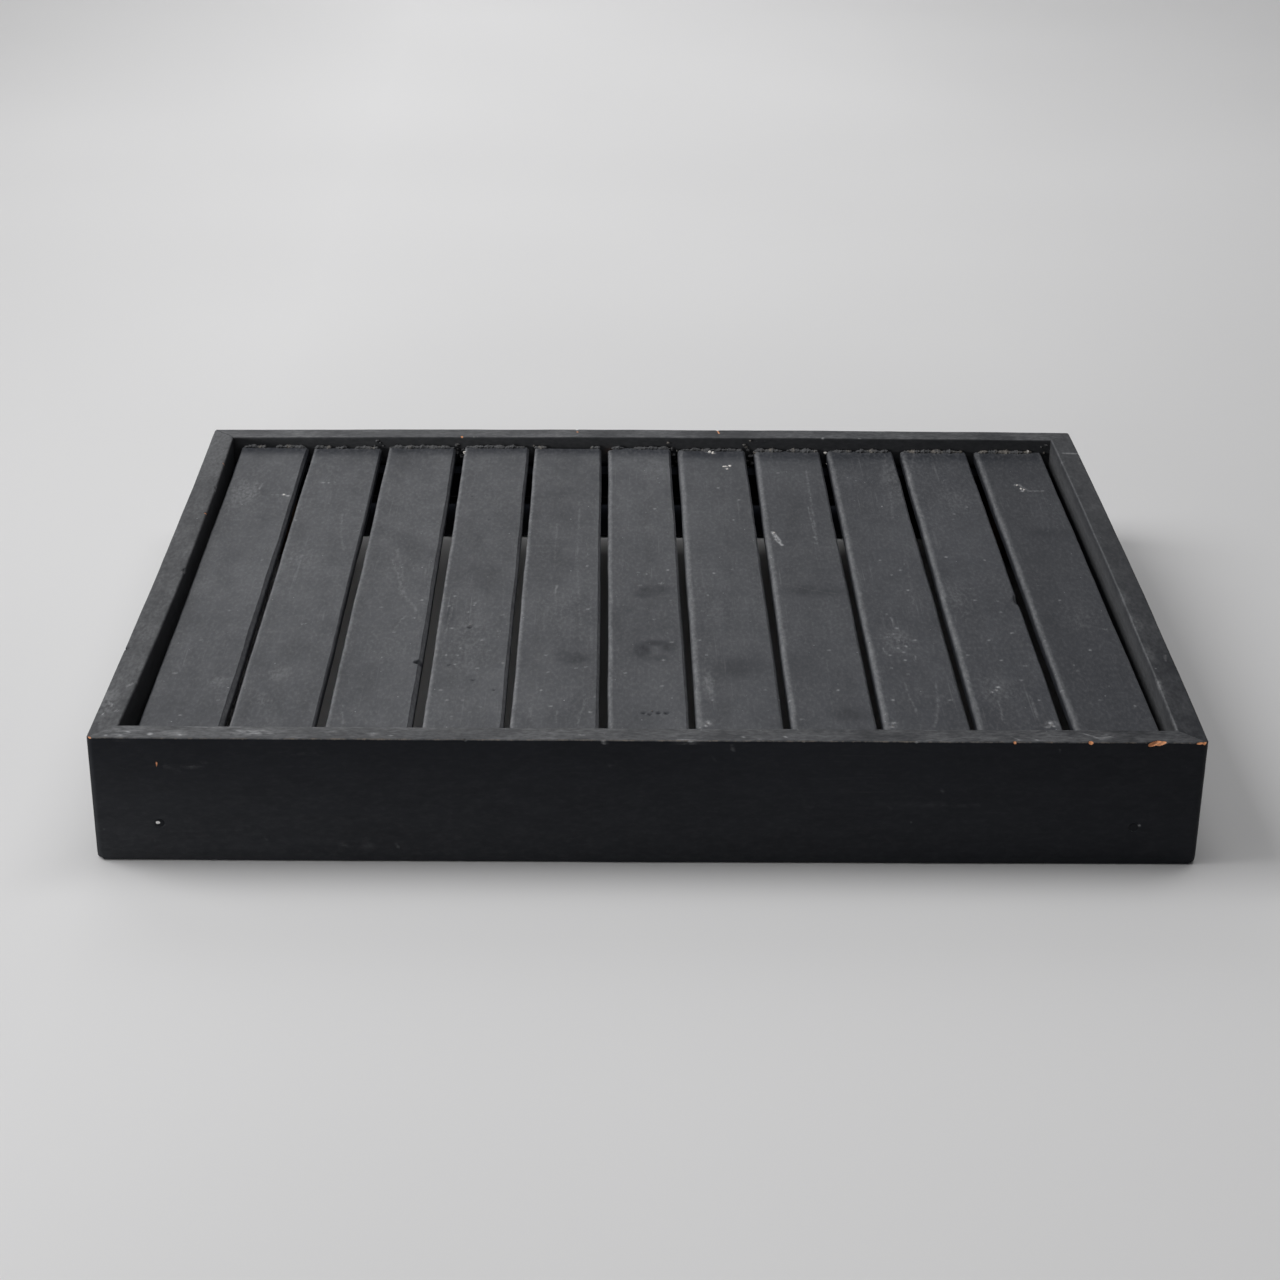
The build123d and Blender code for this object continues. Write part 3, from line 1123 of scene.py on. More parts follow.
@dataclass
class Slat:
    """A deck slat: hand-planed, its edges softened and a little wavy, drifting from rear to front."""

    number: int
    left: tuple[float, float]
    right: tuple[float, float]
    left_round: float
    right_bevel: float
    flare: float
    # The left arris's painted highlight
    haze: float
    rear_rise: float = 0.2
    rear_short: float = 0.0
    # The bevel's painted light, from the rear end to the front
    bevel_painted_light: tuple[float, float] = (0.05, 0.17)
    left_chips: tuple[Chip, ...] = ()
    right_chips: tuple[Chip, ...] = ()
    paint: Paint = SLAT_PAINT
    rise_share: float = 0.4
    # Painted light on the top near the rear end against the rear rim's shadow, and how far forward it
    # reaches
    rear_painted_light: float = 0.06
    painted_light_reach: float = 9.0
    under: float = 3.8
    cup: float = 0.08
    wear: float = 0.3
    arris_start: float = 1.3
    arris_reach: float = 0.6
    side_ripple: tuple[float, float] = (0.09, 140)
    bevel_ripple: tuple[float, float] = (0.07, 60)
    pit_fall: float = 1.2
    step_across: float = 0.5
    step_along: float = 0.6
    side_steps: int = 6
    round_steps: int = 7
    bevel_steps: int = 5
    under_steps: int = 14

    @property
    def node(self) -> str:
        """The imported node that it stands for."""
        return f"slat_{self.number:02d}"

    def surface(self) -> Surface:
        """The slat's surface, before chips, pits and marks.

        Each ring is a section across the slat: up the left side, over a quarter round, across the top,
        down a flat bevel and the right side, and back below between the planed lower edges. Each side goes
        from its shift at the rear to its shift at the front, with a ripple. The top is hollow by a
        parabola's cup, and all above the foot rises towards the rear end by the square of the way there.
        The left arris gets a painted highlight and the bevel painted light, the top near the rear end is
        painted lighter against the rear rim's shadow, and the left arris and the bevel are both worn.

        Returns:
            The surface.
        """
        low, high = packed_box(self.node)
        along = spaced(low[1], high[1] - self.rear_short, self.step_along)
        front = (high[1] - along) / (high[1] - low[1])
        left = low[0] + np.interp(front, (0, 1), self.left)
        left += Ripple(*self.side_ripple, self.number).at(along)
        right = high[0] + np.interp(front, (0, 1), self.right)
        right += Ripple(*self.side_ripple, self.number + 40).at(along)
        uneven = 1 + Ripple(*self.bevel_ripple, self.number + 80).at(along)
        left_round = (self.left_round * uneven)[:, None]
        bevel = (self.right_bevel * uneven[::-1] * (1 + self.flare * (front - 0.5)))[:, None]
        left, right = left[:, None], right[:, None]
        up = np.linspace(0, 1, self.side_steps)
        fall = up[::-1]
        down = np.linspace(0, 1, self.bevel_steps)[1:-1]
        back = np.linspace(1, 0, self.under_steps)[1:-1]
        across = np.linspace(0, 1, round((high[0] - low[0]) / self.step_across))
        dx, dz = (offsets[1:-1] for offsets in quarter_round(1.0, 180, self.round_steps))
        first, last = left + left_round, right - bevel
        hollow = self.cup * (1 - (2 * across - 1) ** 2)
        foot = SLAT_FOOT + self.under
        reach = self.arris_reach * self.left_round
        arris = np.clip(self.arris_start - across * (high[0] - low[0]) / reach, 0, 1)
        under = left + self.under + (right - left - 2 * self.under) * back
        top = first + (last - first) * across
        # Each strip's X and Z, its share of the left arris's painted highlight and of the bevel's painted
        # light, and its wear
        strips = (
            (left + 0 * up, foot + (DECK_LEVEL - left_round - foot) * up, 0.3 * up, 0 * up, 0.3 * up),
            (first + left_round * dx, DECK_LEVEL - left_round * (1 - dz), 1 + 0 * dx, 0 * dx, 1 + 0 * dx),
            (top, DECK_LEVEL - hollow + 0 * left, arris, 0 * arris, 0.5 * arris),
            (last + bevel * down, DECK_LEVEL - bevel * down, 0 * down, 1 + 0 * down, 0.7 + 0 * down),
            (right + 0 * up, foot + (DECK_LEVEL - bevel - foot) * fall, 0 * up, 0.4 * fall, 0.3 * fall),
            (under, SLAT_FOOT + 0 * under, 0 * back, 0 * back, 0 * back),
        )
        x, z, painted_light_and_dust, bevelled, wear = (np.concatenate(each, axis=-1) for each in zip(*strips))
        rise = self.rear_rise * np.clip(1 - front / self.rise_share, 0, 1) ** 2
        risen = z + rise[:, None] * (z - SLAT_FOOT) / (DECK_LEVEL - SLAT_FOOT)
        surface = loft(np.stack([x, np.broadcast_to(along[:, None], x.shape), risen], axis=2))
        # Painted highlight on the left arris and painted light on the bevel
        haze = self.haze * painted_light_and_dust + np.interp(front, (0, 1), self.bevel_painted_light)[:, None] * bevelled
        # Painted light on the top near the rear end, lifting the rear rim's shadow
        settled = np.clip(1 - (high[1] - along) / self.painted_light_reach, 0, 1)
        haze += self.rear_painted_light * settled[:, None] * (z > DECK_LEVEL - 1)
        surface.trait(Trait.HAZE)[: x.size] = haze.ravel()
        surface.trait(Trait.WEAR)[: x.size] = np.tile(self.wear * wear, len(along))
        return surface

    def sink_pits(self, surface: Surface) -> None:
        """Sinks each pit: a bell whose depth is its radius, pressed into the top."""
        for *pixel, radius in DECK_PITS:
            place = PHOTO.onto([pixel], Face.DECK)[0]
            away = np.linalg.norm(surface.points[:, :2] - place[:2], axis=1) / radius
            on_top = surface.points[:, 2] > DECK_LEVEL - 1
            bell = np.where(on_top, np.exp(-((away * self.pit_fall) ** 2)), 0)
            surface.points[:, 2] -= radius * bell
            stain = surface.trait(Trait.STAIN)
            stain[:] = np.maximum(stain, bell)

    def build(self) -> bpy.types.Object:
        """Makes the slat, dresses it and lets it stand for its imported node."""
        surface = self.surface().with_every_trait()
        low, high = packed_box(self.node)
        for chips, edge, hand in ((self.left_chips, low, -1.0), (self.right_chips, high, 1.0)):
            for chip in chips:
                corner = np.array([edge[0], 0.0, DECK_LEVEL])
                chip.cut(surface, Face.DECK, corner, np.array([hand, 0.0, 1.0]))
        self.sink_pits(surface)
        for marks in (DECK_SCUFFS, DECK_STAINS):
            marks.add_to(surface)
        return surface.place(f"worn_{self.node}", self.paint.material(), self.node, "slat_paint")


@dataclass(frozen=True)
class Bead:
    """The glue squeezed out along one slat's rear end, from one share of its width to another."""

    slat: int
    start: float
    end: float
    size: float
    tan: float


@dataclass
class GlueBeads:
    """Ragged beads of glue and dust where the slats meet the rear board."""

    beads: tuple[Bead, ...]
    step: float = 0.35
    around: int = 12
    swell: float = 0.85
    swell_limits: tuple[float, float] = (0.4, 1.2)
    swell_ripple: tuple[float, float] = (0.2, 5.5)
    roughness: float = 0.22
    twists: tuple[float, float] = (2.1, 1.7)
    inset: float = 0.4
    inset_ripple: tuple[float, float] = (0.15, 9)
    rise_ripple: tuple[float, float] = (0.12, 7)
    tan_ripple: tuple[float, float] = (0.3, 11)
    squash: float = 0.85

    def bead(self, bead: Bead) -> Surface:
        """One bead: circles carried along the slat's end, their radius and place following ripples.

        The radius falls to nothing at both ends by a flattened ellipse, and the tan share rises and falls
        along the bead.

        Args:
            bead: The bead.

        Returns:
            Its surface, with the tan share as the pale trait.
        """
        low, high = packed_box(f"slat_{bead.slat:02d}")
        start, end = low[0] + (high[0] - low[0]) * np.array([bead.start, bead.end])
        along = np.arange(start, end, self.step)
        share = (along - start) / (end - start) * 2 - 1
        swell = self.swell + Ripple(*self.swell_ripple, bead.slat * 3, 5).at(along)
        radius = bead.size * np.clip(swell, *self.swell_limits) * np.sqrt(np.clip(1 - share**6, 0.01, 1))
        turns = np.linspace(0, 2 * np.pi, self.around, endpoint=False)
        first, second = (twist * along[:, None] for twist in self.twists)
        rough = 1 + self.roughness * np.sin(3 * turns + first) * np.sin(second + turns)
        y = high[1] - self.inset + Ripple(*self.inset_ripple, bead.slat + 60).at(along)
        z = DECK_LEVEL + SLATS[bead.slat - 1].rear_rise
        z = z + Ripple(*self.rise_ripple, bead.slat + 70).at(along)
        reach = radius[:, None] * rough
        points = [
            np.broadcast_to(along[:, None], reach.shape),
            y[:, None] + reach * np.cos(turns),
            z[:, None] + self.squash * reach * np.sin(turns),
        ]
        surface = loft(np.stack(points, axis=2))
        tan = np.clip(bead.tan + Ripple(*self.tan_ripple, bead.slat + 90).at(along), 0, 1)
        surface.trait(Trait.PALE)[: reach.size] = np.repeat(tan, self.around)
        return surface

    def build(self) -> bpy.types.Object:
        """Makes all the beads one piece, on the slats' ends."""
        surface = reduce(Surface.joined, [self.bead(bead) for bead in self.beads])
        return surface.place("glue_beads", GlueAndDust().material())


@dataclass(frozen=True)
class Crumb:
    """A lump of dried glue, paint or dust that lies where a pixel shows it, on a face or lifted off it."""

    pixel: Pixel
    radius: float
    tan: float
    face: Face
    lift: float = 0.0


def crumbs(face: Face, radius: float, tan: float, *pixels: Pixel, lift: float = 0.0) -> tuple[Crumb, ...]:
    """Crumbs of one size and tone on one face, at these pixels."""
    return tuple(Crumb(pixel, radius, tan, face, lift) for pixel in pixels)


@dataclass
class Crumbs:
    """Loose lumps on the deck and packed crud at the gaps' ends."""

    crumbs: tuple[Crumb, ...]
    rings: int = 6
    around: int = 8
    dents: tuple[float, float] = (0.65, 1.25)
    stretches: tuple[float, float] = (0.7, 1.3)
    squash: float = 0.7
    seed: int = 11

    def lump(self, crumb: Crumb, draw: np.random.Generator) -> Surface:
        """One lump: a ball squashed and dented at random, sunk a little into what it lies on."""
        place = PHOTO.onto([crumb.pixel], crumb.face)[0] + (0.0, 0.0, crumb.lift)
        slopes = np.linspace(0, np.pi, self.rings + 2)[1:-1]
        turns = np.linspace(0, 2 * np.pi, self.around, endpoint=False)
        reach = crumb.radius * draw.uniform(*self.dents, (self.rings, self.around))
        stretch = draw.uniform(*self.stretches, 3) * (1, 1, self.squash)
        directions = np.stack(
            [
                np.sin(slopes)[:, None] * np.cos(turns),
                np.sin(slopes)[:, None] * np.sin(turns),
                np.cos(slopes)[:, None] + 0 * turns,
            ],
            axis=2,
        )
        surface = loft(place + directions * reach[..., None] * stretch)
        surface.trait(Trait.PALE)[:] = crumb.tan
        return surface

    def build(self) -> bpy.types.Object:
        """Makes all the lumps one piece."""
        draw = np.random.default_rng(self.seed)
        surface = reduce(Surface.joined, [self.lump(crumb, draw) for crumb in self.crumbs])
        return surface.place("crumbs", GlueAndDust().material())


# Scratches, specks and dusty clouds on the slats, left to right
DECK_SCUFFS = Marks(
    Face.DECK,
    Trait.PALE,
    (
        *specks(1.4, 1.0, (284, 495), (727, 469), (1020.5, 489), (1016, 485)),
        *specks(
            1.2,
            0.9,
            (724, 467), (730, 466), (175, 673), (661, 583), (815, 537), (709, 453), (714, 454),
            (706, 452.5), (1022, 491), (288, 496),
        ),
        *specks(
            0.9,
            0.6,
            (381, 607), (402, 619), (394, 632), (414, 618), (422, 600), (474, 605), (455, 596), (449, 606),
            (451, 641), (446, 655), (455, 664), (460, 648), (880, 560), (892, 575), (908, 590), (915, 640),
            (905, 660), (893, 700), (985, 560), (975, 600), (989, 640), (1001, 660), (968, 655),
            (950, 700),
        ),
        *specks(
            0.9,
            0.5,
            (463, 700), (470, 712), (480, 707), (447, 700), (452, 716), (441, 690), (546, 655), (548, 672),
            (541, 690), (551, 706), (594, 697), (590, 712), (640, 585), (668, 570), (671, 600), (700, 640),
            (706, 655), (712, 700), (739, 500), (733, 520), (765, 690), (790, 700), (838, 690), (829, 650),
            (1060, 600), (1090, 650), (1100, 700), (1062, 690), (1045, 640), (1039, 700), (200, 640),
            (230, 610), (262, 560), (296, 520), (218, 700), (180, 715),
        ),
        *specks(
            1.1,
            0.8,
            (996, 690), (998, 687), (992, 692), (708, 723), (706, 726), (894, 723), (892, 727),
            (1050, 723), (1054, 726), (1048, 727), (900, 640), (906, 646),
        ),
        *specks(
            1.0,
            0.5,
            (323, 483), (329, 483), (475, 603), (502, 615), (499, 631), (503, 663), (576, 668), (586, 667),
            (587, 566), (588, 609), (668, 633), (672, 642), (654, 619), (625, 673), (662, 686), (663, 660),
            (655, 509), (639, 572), (646, 574), (718, 488), (732, 569), (714, 573), (708, 595), (703, 611),
            (816, 543), (778, 473), (802, 719), (892, 668), (886, 614), (896, 492), (901, 570), (954, 514),
            (953, 519), (967, 507), (946, 557), (998, 601), (1001, 612), (1010, 612), (1012, 633),
            (1025, 666), (1075, 665), (1077, 671), (1105, 629), (1135, 706), (1021, 680), (908, 674),
            (888, 637), (893, 634), (898, 648), (904, 652), (890, 655), (897, 628),
        ),
        *specks(1.0, 0.45, (452, 628), (458, 655), (468, 612), (482, 640), (490, 650), (477, 668)),
        *strokes(
            (0.9, 0.3, (258, 481), (254, 487), (255, 495)), (0.8, 0.25, (262, 484), (259, 490)),
            (1.6, 0.08, (398, 549), (399, 572), (402, 594)),
            (0.8, 0.13, (806, 470), (811, 502), (817, 544)),
            (1.0, 0.08, (884, 455), (890, 486), (893, 520)),
            (1.0, 0.08, (914, 452), (909, 480), (903, 500)),
            (0.8, 0.1, (905, 560), (911, 585), (914, 604)),
            (0.9, 0.35, (1018, 484), (1028, 491), (1043, 491)),
            (1.1, 0.13, (393, 560), (399, 578), (405, 596)),
            (0.9, 0.1, (402, 564), (403, 580), (405, 596)),
            (1.1, 0.12, (405, 596), (415, 607), (421, 622)),
            (0.9, 0.14, (393, 632), (399, 622), (405, 616)), (0.8, 0.35, (272, 495), (279, 495)),
            (0.7, 0.1, (342, 513), (341, 532), (343, 550)), (0.7, 0.4, (302, 624), (308, 622.5)),
            (0.8, 0.1, (343, 704), (342, 713), (343, 723)), (0.7, 0.1, (557, 524), (555, 559)),
            (0.8, 0.07, (580, 500), (577, 560), (581, 640)),
            (0.8, 0.06, (587, 540), (590, 590), (592, 650)), (0.7, 0.25, (555, 593), (557, 585)),
            (0.7, 0.16, (586, 693), (583, 708), (577, 726)), (0.7, 0.1, (530, 708), (531, 722)),
            (0.7, 0.1, (557, 709), (556, 722)), (1.0, 0.8, (772, 532), (776, 539), (782, 545)),
            (0.9, 0.7, (774, 533), (780, 541)), (0.6, 0.22, (808, 507), (814, 531)),
            (0.9, 0.06, (787, 584), (812, 590), (839, 594)), (0.7, 0.25, (891, 617), (895, 628)),
            (0.7, 0.25, (883, 648), (887, 654)), (0.7, 0.25, (915, 656), (915, 662)),
            (0.7, 0.15, (905, 682), (910, 698), (918, 714)),
            (0.7, 0.12, (936, 684), (938, 706), (935, 727)), (0.7, 0.16, (999, 701), (1004, 723)),
            (0.7, 0.16, (1030, 695), (1037, 717)), (0.8, 0.14, (453, 604), (446, 632)),
        ),
        *patches(
            (897, 640, 8, 14, 0.1), (893, 482, 6, 30, 0.07), (470, 640, 9, 40, 0.05),
            (960, 600, 8, 24, 0.06), (300, 560, 9, 12, 0.04), (395, 650, 9, 16, 0.03),
            (560, 610, 10, 24, 0.035), (655, 470, 10, 20, 0.035), (720, 610, 9, 20, 0.035),
            (800, 640, 9, 14, 0.03), (955, 500, 8, 20, 0.04), (1000, 690, 10, 16, 0.05),
            (1080, 620, 10, 16, 0.035), (244, 492, 9, 20, 0.12), (219, 682, 5, 6, 0.1),
            (279, 673, 6, 7, 0.09), (264, 699, 5, 6, 0.08), (709, 685, 2.6, 14, 0.14),
            (1052, 724, 3, 3, 0.25), (708, 723, 2, 3, 0.25), (894, 725, 2, 3, 0.25),
        ),
    ),
)

# Dark blotches and stains on the slats
DECK_STAINS = Marks(
    Face.DECK,
    Trait.STAIN,
    patches(
        (575, 658, 6, 6, 0.9, 20), (567, 654, 6, 3, 0.4), (655, 590, 9, 6, 0.75),
        (644, 594, 5, 5, 0.5), (642, 650, 4.5, 9, 0.75), (655, 643, 8, 3.5, 0.6),
        (669, 647, 4, 7, 0.6), (657, 658, 8, 4, 0.4), (742, 668, 15, 12, 0.4), (800, 590, 10, 7, 0.5),
        (828, 592, 11, 4, 0.4), (852, 714, 11, 8, 0.45), (800, 660, 9, 20, 0.25),
        (1050, 533, 12, 6, 0.4), (1040, 560, 9, 14, 0.25), (449, 617, 2.5, 14, 0.6),
    ),
)

# Small holes in the slats, with the radius of each
DECK_PITS = (
    (470, 627, 0.9), (449, 665, 0.6), (473, 680, 0.7), (494, 690, 0.5), (489, 520, 0.45), (472, 497, 0.45),
    (644, 713, 0.75), (650, 714, 0.8), (659, 713, 0.75), (667, 713, 0.85),
)

# Scratches and dust on the rim
RIM_SCUFFS = Marks(
    Face.RIM,
    Trait.PALE,
    (
        *specks(1.2, 1.0, (150, 734)),
        *specks(
            0.9,
            0.8,
            (106, 735), (121, 735), (127, 732), (180, 734.5), (239, 731), (103, 714), (116, 711),
            (391, 735.6), (581.7, 735), (744.5, 737), (760.7, 739),
        ),
        *specks(0.8, 0.6, (785.7, 737), (1037, 740), (604.5, 740.5)),
        *strokes(
            (0.8, 0.2, (175, 725.5), (205, 727), (240, 727)),
            (0.9, 0.35, (128, 686), (133, 683), (137, 682)), (1.1, 0.5, (108, 699), (112, 706)),
            (0.7, 0.35, (1085, 734), (1097, 738), (1112, 737)), (0.6, 0.35, (1100, 740), (1108, 734)),
            (0.6, 0.35, (1012, 737), (1019, 740)), (1.0, 0.35, (1063, 455), (1078, 455.5)),
            (0.8, 0.3, (1058, 464), (1063, 464)), (0.8, 0.25, (1075, 497), (1080, 497)),
            (0.8, 0.25, (1075, 520), (1080, 520)), (0.8, 0.3, (1165, 656), (1166, 661)),
            (1.1, 0.1, (1161, 698), (1169, 714), (1177, 729)),
        ),
        *patches(
            (252, 732, 9, 3, 0.3), (178, 733, 8, 2.5, 0.2), (122, 731, 7, 5, 0.16),
            (108, 703, 4, 12, 0.12), (331, 733, 3, 2, 0.2), (372, 734, 3, 2, 0.2),
            (688, 740, 6, 0.8, 0.35), (1136, 624, 3, 9, 0.07), (1142, 674, 2, 4, 0.2),
            (1158, 684, 2, 4, 0.2), (1124, 600, 3, 8, 0.08), (1150, 655, 3, 9, 0.08),
            (1159, 690, 3, 8, 0.1),
        ),
    ),
)

# Scratches and specks on the front board
FRONT_SCUFFS = Marks(
    Face.FRONT,
    Trait.PALE,
    (
        *specks(0.6, 0.2, (174, 770.5), (1060, 750), (397.8, 845.4), (407, 765.5), (177, 772)),
        *specks(
            0.6,
            0.09,
            (495, 766.6), (600.8, 838), (626, 853.8), (297, 818), (266, 839), (104, 829), (139, 843),
            (155, 842), (715, 758.6), (945, 774.7), (943, 791), (891, 806.8), (806, 821.5), (911, 822),
        ),
        *specks(0.7, 0.7, (1139.5, 825.7)),
        *strokes(
            (0.6, 0.1, (733, 745), (733, 750)),
            (0.7, 0.1, (164, 767), (178, 768.5), (194, 766), (208, 764.5)),
            (0.6, 0.08, (201, 764), (207, 764)), (0.5, 0.02, (268, 752.5), (318, 752.5)),
            (0.7, 0.04, (98, 802), (121, 802)), (0.7, 0.04, (95, 778), (118, 778)),
            (0.6, 0.018, (804, 806), (880, 805), (978, 804)), (0.7, 0.05, (609, 764), (616, 762.5)),
        ),
        *patches(
            (344, 845, 3, 2, 0.03), (368, 845, 3, 2, 0.03),
        ),
    ),
)

# Bare wood beside the rear rim's two outer chips, given a little low because that rim stands above the rest
RIM_WOOD = Marks(
    Face.RIM,
    Trait.BARE,
    (Stroke(((577, 433.5), (578, 434)), 0.8, 0.8), Stroke(((717.5, 433), (719, 435.5)), 0.8, 0.8)),
)

# Bare wood on the front board
FRONT_WOOD = Marks(Face.FRONT, Trait.BARE, (Stroke(((156.5, 762.5), (156.5, 765.5)), 0.75, 0.75),))

FRONT_CHIPS = (
    *chips(
        (1156.5, 745, 4.6, 1.3, 1.0, 1.6), (1162, 743, 4.4, 1.0, 1.0, 1.3),
        (1175, 743.5, 6.0, 0.4, 0.6, 0.6), (1191, 743.5, 9.0, 0.45, 0.7, -0.5),
        (1201, 744, 5.0, 0.6, 0.75, 0.8), (1091, 742, 2.6, 0.7, 1.0), (1015, 742, 1.8, 0.6, 0.9),
        (1052, 742, 2.0, 0.4, 0.5),
    ),
    *chips(
        (1070, 743, 1.4, 0.35, 0.4), (916.5, 742, 2.6, 0.5, 0.35), (804, 741, 1.8, 0.45, 0.35),
        (690, 740.5, 6.5, 0.4, 0.4), (519, 740, 1.6, 0.4, 0.35),
        shows=Trait.PALE,
    ),
    *chips(
        (686.5, 741, 3.4, 0.3, 0.6), (465, 740.5, 2.0, 0.7, 0.0), (1206, 744, 2.4, 0.9, 0.6),
        (88.5, 737, 3.2, 0.6, 0.75),
    ),
)

REAR_CHIPS = (
    *chips((462, 437, 2.0, 0.6, 0.9), inner=True),
    *chips(
        (474, 437, 1.6, 0.4, 0.45), (478, 437, 1.4, 0.35, 0.45), (859, 439, 2.4, 0.5, 0.4),
        (822, 438.5, 2.4, 0.6, 0.5),
        inner=True,
        shows=Trait.PALE,
    ),
    *chips((577, 431, 1.8, 0.9, 0.9), (718.5, 433, 2.6, 1.1, 1.0, 0.8)),
)

LEFT_CHIPS = (
    *chips((221, 463, 2.2, 1.0, 0.8), (204, 513, 2.0, 1.0, 0.7), inner=True),
    *chips((214, 488, 9.0, 0.8, 0.3, 0.6), (184, 570, 6.0, 1.0, 0.15), inner=True, shows=Trait.PALE),
    *chips((127.5, 648, 3.0, 1.6, 0.25)),
)

# The slats, left to right: how far each side stands right of the imported one at the rear and at the front,
# its left round and right bevel, how the bevel flares, the left arris's painted highlight and how far the
# rear rises
SLATS = (
    Slat(1, (-0.8, 0.1), (0.7, 1.2), 1.0, 1.3, 0.4, 0.02, 0.8, 0.9, (0.0, 0.12)),
    Slat(2, (-0.1, 0.1), (1.1, 0.9), 0.8, 0.7, 0.0, 0.16, 0.6, 0.9, (0.02, 0.06)),
    Slat(3, (-0.1, 0.2), (0.5, 1.3), 0.9, 1.3, 0.4, 0.19, 1.0, right_chips=chips((421, 662, 4, 1.6, 0.0))),
    Slat(4, (-0.1, 0.3), (0.8, 0.7), 0.9, 1.1, 0.2, 0.24, 1.3),
    Slat(5, (0.4, 0.2), (0.5, 1.8), 0.9, 1.0, 0.3, 0.24, 1.3, 1.4),
    Slat(6, (-0.2, 1.3), (-0.1, 2.0), 1.2, 0.9, 0.0, 0.18, 1.2, left_chips=chips((608, 450, 7, 1.3, 0.5))),
    Slat(7, (-0.1, 1.3), (0.3, 2.1), 1.6, 0.8, 0.0, 0.17, 0.4),
    Slat(8, (-0.1, 0.5), (0.5, 1.7), 1.5, 0.8, 0.0, 0.17, left_chips=chips((775, 597, 3.0, 1.0, 0.3))),
    Slat(9, (0.0, 0.3), (0.6, 1.8), 1.5, 0.8, 0.0, 0.16, left_chips=chips((859, 596, 3.0, 0.9, 0.3))),
    Slat(10, (-0.3, -0.1), (0.7, 1.5), 1.5, 0.7, 0.0, 0.14, right_chips=chips((1010, 600, 9.0, 0.5, 0.0))),
    Slat(11, (-0.7, 0.3), (0.3, 1.1), 1.5, 0.6, 0.0, 0.13, paint=DARKER_SLAT_PAINT),
)

# The beads, each on a slat, from one share of its width to another, with its radius and its tan share
BEADS = tuple(
    Bead(*row)
    for row in (
        (1, 0.0, 0.36, 1.3, 0.2), (1, 0.5, 0.98, 1.35, 0.25), (2, 0.0, 0.26, 1.3, 0.2),
        (2, 0.32, 0.5, 1.1, -0.4), (2, 0.62, 0.99, 1.2, 0.15), (3, 0.0, 1.0, 1.35, 0.1),
        (4, 0.02, 0.97, 1.3, -0.2), (5, 0.0, 0.2, 1.1, 0.2), (5, 0.85, 1.0, 1.1, 0.2),
        (6, 0.04, 0.25, 1.2, 0.3), (6, 0.4, 1.0, 1.15, -0.2), (7, 0.05, 0.98, 1.2, -0.1),
        (8, 0.0, 0.45, 1.4, 0.25), (8, 0.5, 1.0, 1.5, 0.1), (9, 0.05, 0.4, 1.0, 0.1),
        (9, 0.45, 0.97, 1.35, 0.2), (10, 0.04, 0.98, 1.4, 0.35), (11, 0.03, 0.88, 1.35, 0.5),
    )
)

# Crud in the gaps' rear ends and crumbs on the deck
CRUMBS = (
    *crumbs(Face.REAR_INNER, 1.2, 0.1, (457, 453), (461, 456), (463, 450), (674, 455)),
    *crumbs(Face.REAR_INNER, 1.0, 0.4, (457, 445), (672, 449), (750, 456), (752, 463)),
    *crumbs(Face.REAR_INNER, 0.7, 0.8, (464, 452)),
    *crumbs(Face.REAR_INNER, 0.6, 0.7, (668, 443), (750, 441), (534, 446)),
    *crumbs(Face.REAR_INNER, 0.7, 0.2, (380, 443), (377, 441), (383, 446), (375, 446)),
    *crumbs(Face.REAR_INNER, 0.75, 1.0, (825.5, 453), (827.5, 464)),
    *crumbs(Face.REAR_INNER, 0.9, 0.3, (748, 450), (752, 456), (747, 461), (753, 469)),
    *crumbs(Face.REAR_INNER, 0.7, 0.55, (746, 447), (754, 452), (750, 474), (748, 467)),
    *crumbs(Face.REAR_INNER, 0.9, 0.3, (670, 452), (674, 458), (668, 457), (673, 466)),
    *crumbs(Face.REAR_INNER, 0.6, 0.6, (672, 455), (677, 451), (669, 461), (744, 445)),
    *crumbs(Face.DECK, 0.9, 1.0, (707, 450.5), (713, 454), (709.5, 452.5), (1043, 449), lift=0.4),
    *crumbs(Face.DECK, 1.0, 1.0, (464.5, 455), lift=1.1),
    *crumbs(Face.DECK, 0.8, 1.0, (724, 467), (727, 469.5), (730, 466.5), (726, 467)),
    *crumbs(Face.DECK, 0.6, 1.0, (1017, 485.5), (1021, 489), (1024, 490), (284, 495), (774, 533)),
    *crumbs(Face.REAR_INNER, 0.7, 0.3, (1041, 447), (1046, 445), (676, 462), (458, 449)),
    *crumbs(Face.DECK, 0.6, 0.8, (609, 452), (613, 451), (711, 451), (1044, 453), (755, 453), (760, 452)),
    *crumbs(Face.DECK, 0.32, 0.9, (707, 724), (893, 726), (1052, 725), (996, 690), (470, 625), (652, 711)),
)


@dataclass(frozen=True)
class Lamp:
    """A rectangular lamp that faces a point: its size and places in millimetres, its power in watts."""

    name: str
    place: tuple[float, float, float]
    size: tuple[float, float]
    watts: float
    aim: tuple[float, float, float] = (0.0, 0.0, 30.0)

    def build(self) -> None:
        """Adds the lamp, its back turned away from its aim, and hides it from the camera."""
        lamp = bpy.data.lights.new(self.name, "AREA")
        lamp.shape = "RECTANGLE"
        lamp.size, lamp.size_y = (side * MM for side in self.size)
        lamp.energy = self.watts
        piece = bpy.data.objects.new(self.name, lamp)
        piece.visible_camera = False
        place, aim = Vector(self.place) * MM, Vector(self.aim) * MM
        turn = (place - aim).to_track_quat("Z", "Y").to_matrix().to_4x4()
        piece.matrix_world = Matrix.Translation(place) @ turn
        bpy.context.scene.collection.objects.link(piece)


